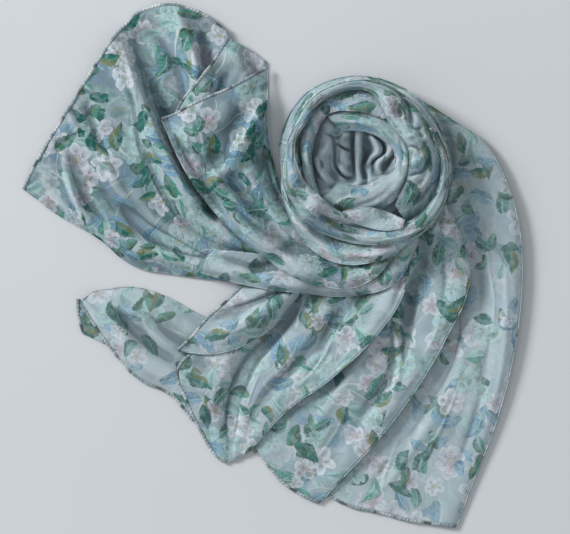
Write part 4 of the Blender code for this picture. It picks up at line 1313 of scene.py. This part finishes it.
def inside_chiffon(look):
    """The plain grey back of the cloth inside the coil, with the print showing faintly through it."""
    material, tree, shader = new_material("chiffon_inside", 0.82)
    place = flat_place(tree)
    patches = eased(clouds(tree, place, 0.035, 2.0), 0.35, 0.65)
    colour = blended(tree, patches, look.inside_dark, look.inside)
    colour = scattered(tree, colour, place, draw_leaf(look), look.leaf_spacing, 0.25, 0.06, 0.52, 6.2)
    painted_light = carried(tree, PAINTED_LIGHT_AND_SHADE)
    # Painted highlight on sharp fold crests, and painted shade in fold hollows.
    colour = blended(tree, eased(painted_light, 0.1, 0.9) * 0.35, colour, look.crest)
    colour = blended(tree, eased(painted_light, 0.0, -0.9) * 0.5, colour, look.hollow)
    feed(tree, colour, shader.inputs["Base Color"])
    woven(tree, shader, place)
    return material


def whipped_hem(look):
    """A rolled hem, whipped in thread: slanting turns of dark and pale thread along its length, whose tones
    come and go."""
    material, tree, shader = new_material("rolled_hem", 0.75)
    place = flat_place(tree)
    length, around, _ = parted(tree, place)
    along = tree.nodes.new("ShaderNodeCombineXYZ")
    feed(tree, length, along.inputs[0])
    along = along.outputs[0]
    uneven = clouds(tree, along, 0.011, 2.0, 5.0)
    turn = sine((length / look.stitch_length + around / HEM_SIDES + 1.6 * uneven) * (2 * math.pi))
    worn = eased(clouds(tree, along, 0.022, 2.0), 0.40, 0.60)
    cloth = blended(tree, worn, look.hem_cloth, look.hem_pale)
    patch = eased(clouds(tree, along, 0.017, 2.0, 2.0), 0.50, 0.66)
    share = worked(tree, "MAXIMUM", eased(turn, 0.2, 0.9) * 0.4, patch * 0.85)
    colour = blended(tree, share, cloth, look.hem_dark)
    feed(tree, colour, shader.inputs["Base Color"])
    raised(tree, shader, turn, 0.3)
    return material


# ---- pieces -----------------------------------------------------------------------------------------


def laid_cloth(stretch, number, pile, cloth):
    """One stretch let down on the pile. In a turn with a full top, a rise that is the share s of the highest
    becomes 1 - (1 - s)^2 of it. Returns the grid of its upper face, on the layout."""
    across_step, along_step = cloth.step_across, cloth.step_along
    if stretch.name.startswith("coil"):
        across_step = along_step = cloth.coil_step
    grid = sheet_points(stretch.folds, across_step / MM, along_step / MM)
    if stretch.name == "coil_core":
        grid[..., 2] *= CORE_RELIEF
    if stretch.name in FULL_TOPS:
        highest = grid[..., 2].max()
        grid[..., 2] = highest * (1 - (1 - grid[..., 2] / highest) ** 2)
    spots = pile.cells(grid)
    bed = pile.bed()[spots]
    if stretch.name in TUCKED:
        tucked = tuck(grid)
        grid[..., 2] *= 1 - TUCKED_RISE * tucked
        bed += tucked * (pile.highest_within(1)[spots] - bed)
    grid[..., 2] += bed
    grid[..., 2] = np.where(grid[..., 2] < SETTLED, 0.0, grid[..., 2])
    grid[..., 2] += fine_creases(grid, cloth.crease_depth / MM, 100 * number)
    grid[..., 2] += crease_relief(grid[..., :2], CREASES.get(stretch.name, ()))
    grid[..., 2] = np.maximum(grid[..., 2], 0.0)
    grid = pile.settle(grid)
    grid[..., 2] += CLOTH * steepness(grid)
    return grid


def add_stretch(stretch, number):
    """The sheet with its lips, and its rolled hem, as pieces that stand for the frame's nodes."""
    settings = bpy.context.scene.scarf_cloth
    pile = laid_so_far["pile"]
    over = laid_cloth(stretch, number, pile, settings)
    pile.lay(over)
    # The painted light and shade of the folds rides along as a fourth number on each point.
    grid = with_lips(np.dstack([over, painted_light_on_folds(over)]), stretch.lips, stretch.lip)
    world = to_world(grid)
    faces = facing_up(quads_of(*grid.shape[:2]), world)
    slot = "chiffon_inside" if stretch.name == "coil_core" else "printed_chiffon"
    made = mesh_object(stretch.name + "_cloth", world, faces.tolist(), materials_made[slot])
    flatten_cloth(made, world, number)
    set_float(made.data, SHEER, np.full(grid.shape[:2], stretch.sheer))
    # Painted light and shade of the folds, for the materials.
    set_float(made.data, PAINTED_LIGHT_AND_SHADE, grid[..., 3])
    wall = made.modifiers.new("cloth thickness", "SOLIDIFY")
    wall.thickness = settings.thickness
    wall.offset = -1.0
    stand_for(made, stretch.name)
    trim = [add_hem(stretch, over, settings)] if stretch.hem else []
    declare_sheet(world)


def add_stretches(stretches, first):
    """Lays stretches down in order, numbered on from first. A stretch's number picks its small creases and
    its piece of the print."""
    for number, stretch in enumerate(stretches, first):
        add_stretch(stretch, number)


def hidden_mound(rings, sides):
    """The wound layers inside the coil: a ring of height COIL_CREST about a hollow. With r the distance
    from the middle and a the bearing, the spiral edges of the layers add WIND sin(2 pi r / WIND_STEP - a).
    Its foot is flat. Returns its points and the faces between its rings."""
    turn = np.linspace(0.0, 2 * np.pi, sides, endpoint=False)
    radii = np.linspace(0.0, COIL_RADIUS, rings + 1)[1:, None]
    inside = 0.5 - 0.5 * np.cos(np.pi * np.minimum(radii / COIL_CREST_RADIUS, 1.0))
    beyond = np.clip((radii - COIL_CREST_RADIUS) / (COIL_RADIUS - COIL_CREST_RADIUS), 0.0, 1.0)
    height = COIL_HOLLOW + (COIL_CREST - COIL_HOLLOW) * inside
    height = CLOTH + (height - CLOTH) * np.cos(0.5 * np.pi * beyond) ** COIL_SHOULDER
    wound = WIND * np.sin(2 * np.pi * radii / WIND_STEP - turn) * np.clip(height / COIL_HOLLOW, 0, 1)
    height = height + np.zeros_like(turn) + wound - WIND
    height[-1] = CLOTH
    plan = np.array(COIL_MIDDLE) + radii[..., None] * np.stack([np.cos(turn), -np.sin(turn)], axis=-1)
    upper = np.concatenate([plan, height[..., None]], axis=-1)
    foot = upper[-1:] * (1.0, 1.0, 0.0) + (0.0, 0.0, FLOOR_CLEAR)
    middle = np.array([[*COIL_MIDDLE, height[0].mean()], [*COIL_MIDDLE, FLOOR_CLEAR]])
    points = np.concatenate([upper.reshape(-1, 3), foot.reshape(-1, 3), middle])
    return points, quads_of(rings + 1, sides, wrap=True)


def add_hidden_layers():
    """The wound layers that the coil hides, as one closed mound with a fan of faces at each pole."""
    points, quads = hidden_mound(MOUND_RINGS, MOUND_SIDES)
    here = np.arange(MOUND_SIDES)
    after = (here + 1) % MOUND_SIDES
    last = MOUND_RINGS * MOUND_SIDES
    top = last + MOUND_SIDES
    cap = np.stack([here, after, np.full(MOUND_SIDES, top)], axis=1)
    floor = np.stack([last + after, last + here, np.full(MOUND_SIDES, top + 1)], axis=1)
    made = mesh_object(
        "coil_inner_layers", to_world(points), quads.tolist() + cap.tolist() + floor.tolist(),
        materials_made["chiffon_inside"],
    )
    face_outwards(made.data)
    loops = np.empty(len(made.data.loops), np.int32)
    made.data.loops.foreach_get("vertex_index", loops)
    uv = made.data.uv_layers.new(name=CLOTH_MAP)
    uv.uv.foreach_set("vector", (points[loops, :2] * MM).astype(np.float32).ravel())
    stand_for(made, "coil_hidden_layers")
    laid_so_far["pile"] = Pile()
    rings = points[: MOUND_RINGS * MOUND_SIDES].reshape(MOUND_RINGS, MOUND_SIDES, 3)
    laid_so_far["pile"].lay(np.concatenate([rings, rings[:, :1]], axis=1))


# ---- sizes and colours ------------------------------------------------------------------------------


def shown(red, green, blue):
    """A colour given in the 0 to 255 of a screen, as the linear numbers that materials take."""
    parts = np.array((red, green, blue)) / 255.0
    linear = np.where(parts <= 0.04045, parts / 12.92, ((parts + 0.055) / 1.055) ** 2.4)
    return tuple(float(part) for part in linear)


def length_property(name, default, description):
    """A length in metres."""
    return bpy.props.FloatProperty(
        name=name, description=description, default=default, min=0.0, precision=5, unit="LENGTH",
        subtype="DISTANCE",
    )


def share_property(name, default, description):
    """A share from 0 to 1."""
    return bpy.props.FloatProperty(
        name=name, description=description, default=default, min=0.0, max=1.0, subtype="FACTOR"
    )


def place_property(name, default, description):
    """A point in the world, in metres."""
    return bpy.props.FloatVectorProperty(
        name=name, description=description, default=default, size=3, subtype="TRANSLATION", unit="LENGTH"
    )


def colour_property(name, default, description):
    """A colour, with its default in the 0 to 255 of a screen."""
    return bpy.props.FloatVectorProperty(
        name=name, description=description, default=shown(*default), size=3, min=0.0, max=1.0, subtype="COLOR"
    )


class ScarfClothSettings(bpy.types.PropertyGroup):
    """Sizes of the cloth and its rolled hems."""

    thickness: length_property("Thickness", 0.0008, "Thickness of the cloth")
    crease_depth: length_property("Crease depth", 0.0007, "Depth of the small creases")
    step_across: length_property("Step across", 0.0015, "Spacing of a sheet's points across its folds")
    step_along: length_property("Step along", 0.0022, "Spacing of a sheet's points along its folds")
    coil_step: length_property("Coil step", 0.0011, "Spacing of the points on the coil")
    hem_width: length_property("Hem width", 0.0032, "Width of a rolled hem")
    hem_height: length_property("Hem height", 0.0026, "Height of a rolled hem")


class ScarfPrintSettings(bpy.types.PropertyGroup):
    """Sizes and colours of the print and the hems' thread."""

    blossom_size: length_property("Blossom size", 0.028, "Width of an average blossom")
    blossom_spacing: length_property("Blossom spacing", 0.025, "Average distance between blossoms' places")
    leaf_length: length_property("Leaf length", 0.026, "Length of an average leaf")
    leaf_spacing: length_property("Leaf spacing", 0.0175, "Average distance between leaves' places")
    stem_spacing: length_property("Stem spacing", 0.042, "Distance between the stems")
    stitch_length: length_property("Stitch length", 0.0036, "Length of one turn of the hem's thread")
    sheerness: share_property("Sheerness", 0.5, "How much paler the cloth is where it lies single")
    boldness: share_property("Boldness", 0.92, "How strongly the print stands out from its ground")
    ground: colour_property("Ground", (136, 158, 166), "The dyed ground")
    ground_dark: colour_property("Dark clouds", (110, 132, 142), "Darker clouds in the ground")
    ground_pale: colour_property("Pale clouds", (162, 182, 190), "Paler clouds in the ground")
    # The next two colours are painted light: a highlight on sharp fold crests and shade in fold hollows.
    crest: colour_property("Crest", (206, 218, 222), "What the cloth fades towards on a sharp crest")
    hollow: colour_property("Hollow", (58, 76, 84), "What the cloth darkens towards in a hollow")
    sheer_tint: colour_property("Sheer tint", (194, 209, 214), "What a single layer fades towards")
    wash_blue: colour_property("Blue wash", (118, 155, 190), "Washes of blue")
    stem: colour_property("Stems", (192, 206, 200), "The thin stems")
    blossom_white: colour_property("Petals", (208, 216, 222), "The petals at their tips")
    blossom_mint: colour_property("Mint petals", (168, 202, 202), "The petals of the pale green blossoms")
    blossom_blush: colour_property("Blush", (192, 178, 194), "The petals near the heart")
    outline: colour_property("Outline", (104, 106, 110), "Outlines and threads of the blossoms")
    stamen: colour_property("Stamens", (98, 74, 96), "The stamens' tips")
    heart: colour_property("Heart", (142, 152, 84), "The blossoms' hearts")
    leaf_green: colour_property("Leaf green", (58, 140, 124), "The lighter green of the leaves")
    leaf_dark: colour_property("Leaf dark green", (18, 86, 78), "The darker green of the leaves")
    leaf_gold: colour_property("Leaf gold", (120, 122, 74), "Brown and gold on the leaves")
    leaf_blue: colour_property("Leaf blue", (120, 160, 194), "The blue leaves")
    leaf_sea: colour_property("Leaf sea blue", (88, 128, 160), "The blue leaves' darker half")
    leaf_mint: colour_property("Leaf mint", (172, 206, 200), "The pale leaves")
    inside: colour_property("Inside", (158, 174, 182), "The plain cloth inside the coil")
    inside_dark: colour_property("Inside dark", (138, 154, 163), "Darker clouds inside the coil")
    hem_cloth: colour_property("Hem cloth", (142, 158, 164), "The cloth rolled into a hem")
    hem_pale: colour_property("Hem pale", (198, 206, 208), "The paler parts of a hem")
    hem_dark: colour_property("Hem thread", (52, 66, 70), "The dark thread round a hem")


class ScarfStageSettings(bpy.types.PropertyGroup):
    """The floor, the light and the camera."""

    floor_size: length_property("Floor size", 6.0, "Side of the square floor")
    floor_colour: colour_property("Floor colour", (214, 217, 220), "Colour of the floor")
    key_power: bpy.props.FloatProperty(
        name="Key light power", description="Power of the large soft light in watts", default=300.0, min=0.0,
        unit="POWER",
    )
    key_size: length_property("Key light size", 1.7, "Side of the large soft light")
    key_place: place_property("Key light place", (-4.4, 2.6, 2.9), "Where the large soft light stands")
    fill_strength: bpy.props.FloatProperty(
        name="Fill strength", description="Strength of the even light from all round", default=0.49, min=0.0
    )
    camera_height: length_property("Camera height", 4.0, "How far above the floor the camera stands")
    view_width: length_property("View width", 0.570, "Width of floor that the camera sees")
    view_middle: place_property("View middle", (0.0138, -0.002, 0.0), "The point of the floor that it faces")


# ---- operators --------------------------------------------------------------------------------------


class ScarfStep:
    """What the operators share: each can be undone."""

    bl_options = {"REGISTER", "UNDO"}


class SCARF_OT_materials(ScarfStep, bpy.types.Operator):
    """Make the printed cloth, the plain inside and the whipped hem"""

    bl_idname = "scarf.materials"
    bl_label = "Materials"

    def execute(self, context):
        look = context.scene.scarf_print
        materials_made["printed_chiffon"] = printed_chiffon(look)
        materials_made["chiffon_inside"] = inside_chiffon(look)
        materials_made["rolled_hem"] = whipped_hem(look)
        return {"FINISHED"}


class SCARF_OT_hidden_layers(ScarfStep, bpy.types.Operator):
    """Add the wound layers that the coil hides, and start a new pile on them"""

    bl_idname = "scarf.hidden_layers"
    bl_label = "Hidden layers"

    def execute(self, context):
        add_hidden_layers()
        return {"FINISHED"}


class SCARF_OT_right_side(ScarfStep, bpy.types.Operator):
    """Add the long side that sweeps round the right, and the layer folded over it"""

    bl_idname = "scarf.right_side"
    bl_label = "Right side"

    def execute(self, context):
        add_stretches(RIGHT_SIDE, 0)
        return {"FINISHED"}


class SCARF_OT_near_corner(ScarfStep, bpy.types.Operator):
    """Add the near corner and the strip turned under it"""

    bl_idname = "scarf.near_corner"
    bl_label = "Near corner"

    def execute(self, context):
        add_stretches(NEAR_CORNER, 2)
        return {"FINISHED"}


class SCARF_OT_middle(ScarfStep, bpy.types.Operator):
    """Add the middle fan and the flap over its left side"""

    bl_idname = "scarf.middle"
    bl_label = "Middle fan"

    def execute(self, context):
        add_stretches(MIDDLE, 4)
        return {"FINISHED"}


class SCARF_OT_left_end(ScarfStep, bpy.types.Operator):
    """Add the left end, its turned corner, the band below the coil and the flap that runs into it"""

    bl_idname = "scarf.left_end"
    bl_label = "Left end"

    def execute(self, context):
        add_stretches(LEFT_END, 6)
        return {"FINISHED"}


class SCARF_OT_coil(ScarfStep, bpy.types.Operator):
    """Add the coil: the folds inside it, its turns from the lowest up, and the small leaf fold"""

    bl_idname = "scarf.coil"
    bl_label = "Coil"

    def execute(self, context):
        add_stretches(COIL, 10)
        return {"FINISHED"}


class SCARF_OT_stage(ScarfStep, bpy.types.Operator):
    """Add the pale floor, the soft light and the camera straight above"""

    bl_idname = "scarf.stage"
    bl_label = "Stage"

    def execute(self, context):
        stage = context.scene.scarf_stage
        half = stage.floor_size / 2
        corners = np.array([(-half, -half), (half, -half), (half, half), (-half, half)])
        points = np.column_stack([corners, np.full(4, -FLOOR_DROP)])
        material = bpy.data.materials.new("floor")
        material.use_nodes = True
        tree = material.node_tree
        shader = tree.nodes["Principled BSDF"]
        shader.inputs["Roughness"].default_value = 0.9
        where = tree.nodes.new("ShaderNodeTexCoord").outputs["Object"]
        share = eased(clouds(tree, where, 0.25, 2.0), 0.3, 0.7) * 0.06
        feed(tree, blended(tree, share, stage.floor_colour, FLOOR_CLOUDS), shader.inputs["Base Color"])
        mesh_object("floor", points, [[0, 1, 2, 3]], material)
        key = bpy.data.lights.new("key light", "AREA")
        key.energy = stage.key_power
        key.size = stage.key_size
        lamp = bpy.data.objects.new("key light", key)
        lamp.location = stage.key_place
        lamp.rotation_euler = (-Vector(stage.key_place)).to_track_quat("-Z", "Y").to_euler()
        context.scene.collection.objects.link(lamp)
        world = context.scene.world or bpy.data.worlds.new("studio")
        context.scene.world = world
        world.use_nodes = True
        sky = world.node_tree.nodes["Background"]
        sky.inputs["Color"].default_value = SKY_TINT
        sky.inputs["Strength"].default_value = stage.fill_strength
        view = bpy.data.cameras.new("camera")
        view.sensor_width = SENSOR_WIDTH
        view.lens = view.sensor_width * stage.camera_height / stage.view_width
        view.clip_end = VIEW_END
        camera = bpy.data.objects.new("camera", view)
        camera.location = Vector(stage.view_middle) + Vector((0.0, 0.0, stage.camera_height))
        context.scene.collection.objects.link(camera)
        context.scene.camera = camera
        context.scene.view_settings.view_transform = "Standard"
        return {"FINISHED"}


STEPS = (
    SCARF_OT_materials,
    SCARF_OT_hidden_layers,
    SCARF_OT_right_side,
    SCARF_OT_near_corner,
    SCARF_OT_middle,
    SCARF_OT_left_end,
    SCARF_OT_coil,
    SCARF_OT_stage,
)


class SCARF_PT_panel(bpy.types.Panel):
    """The scarf's sizes and colours, and a button for each step"""

    bl_idname = "SCARF_PT_panel"
    bl_label = "Chiffon Scarf"
    bl_space_type = "VIEW_3D"
    bl_region_type = "UI"
    bl_category = "Scarf"

    def draw(self, context):
        for step in STEPS:
            self.layout.operator(step.bl_idname)
        for group in (context.scene.scarf_cloth, context.scene.scarf_print, context.scene.scarf_stage):
            box = self.layout.box()
            for name in group.__annotations__:
                box.prop(group, name)


SETTINGS = {
    "scarf_cloth": ScarfClothSettings,
    "scarf_print": ScarfPrintSettings,
    "scarf_stage": ScarfStageSettings,
}


def register():
    """Registers the classes and puts their settings on the scene."""
    for kind in (*SETTINGS.values(), *STEPS, SCARF_PT_panel):
        bpy.utils.register_class(kind)
    for name, kind in SETTINGS.items():
        setattr(bpy.types.Scene, name, bpy.props.PointerProperty(type=kind))


def unregister():
    """Takes the settings and the classes away again."""
    for name in SETTINGS:
        delattr(bpy.types.Scene, name)
    for kind in (SCARF_PT_panel, *reversed(STEPS), *SETTINGS.values()):
        bpy.utils.unregister_class(kind)


def main():
    register()
    bpy.ops.scarf.materials()
    bpy.ops.scarf.hidden_layers()
    bpy.ops.scarf.right_side()
    bpy.ops.scarf.near_corner()
    bpy.ops.scarf.middle()
    bpy.ops.scarf.left_end()
    bpy.ops.scarf.coil()
    bpy.ops.scarf.stage()


if __name__ == "__main__":
    main()
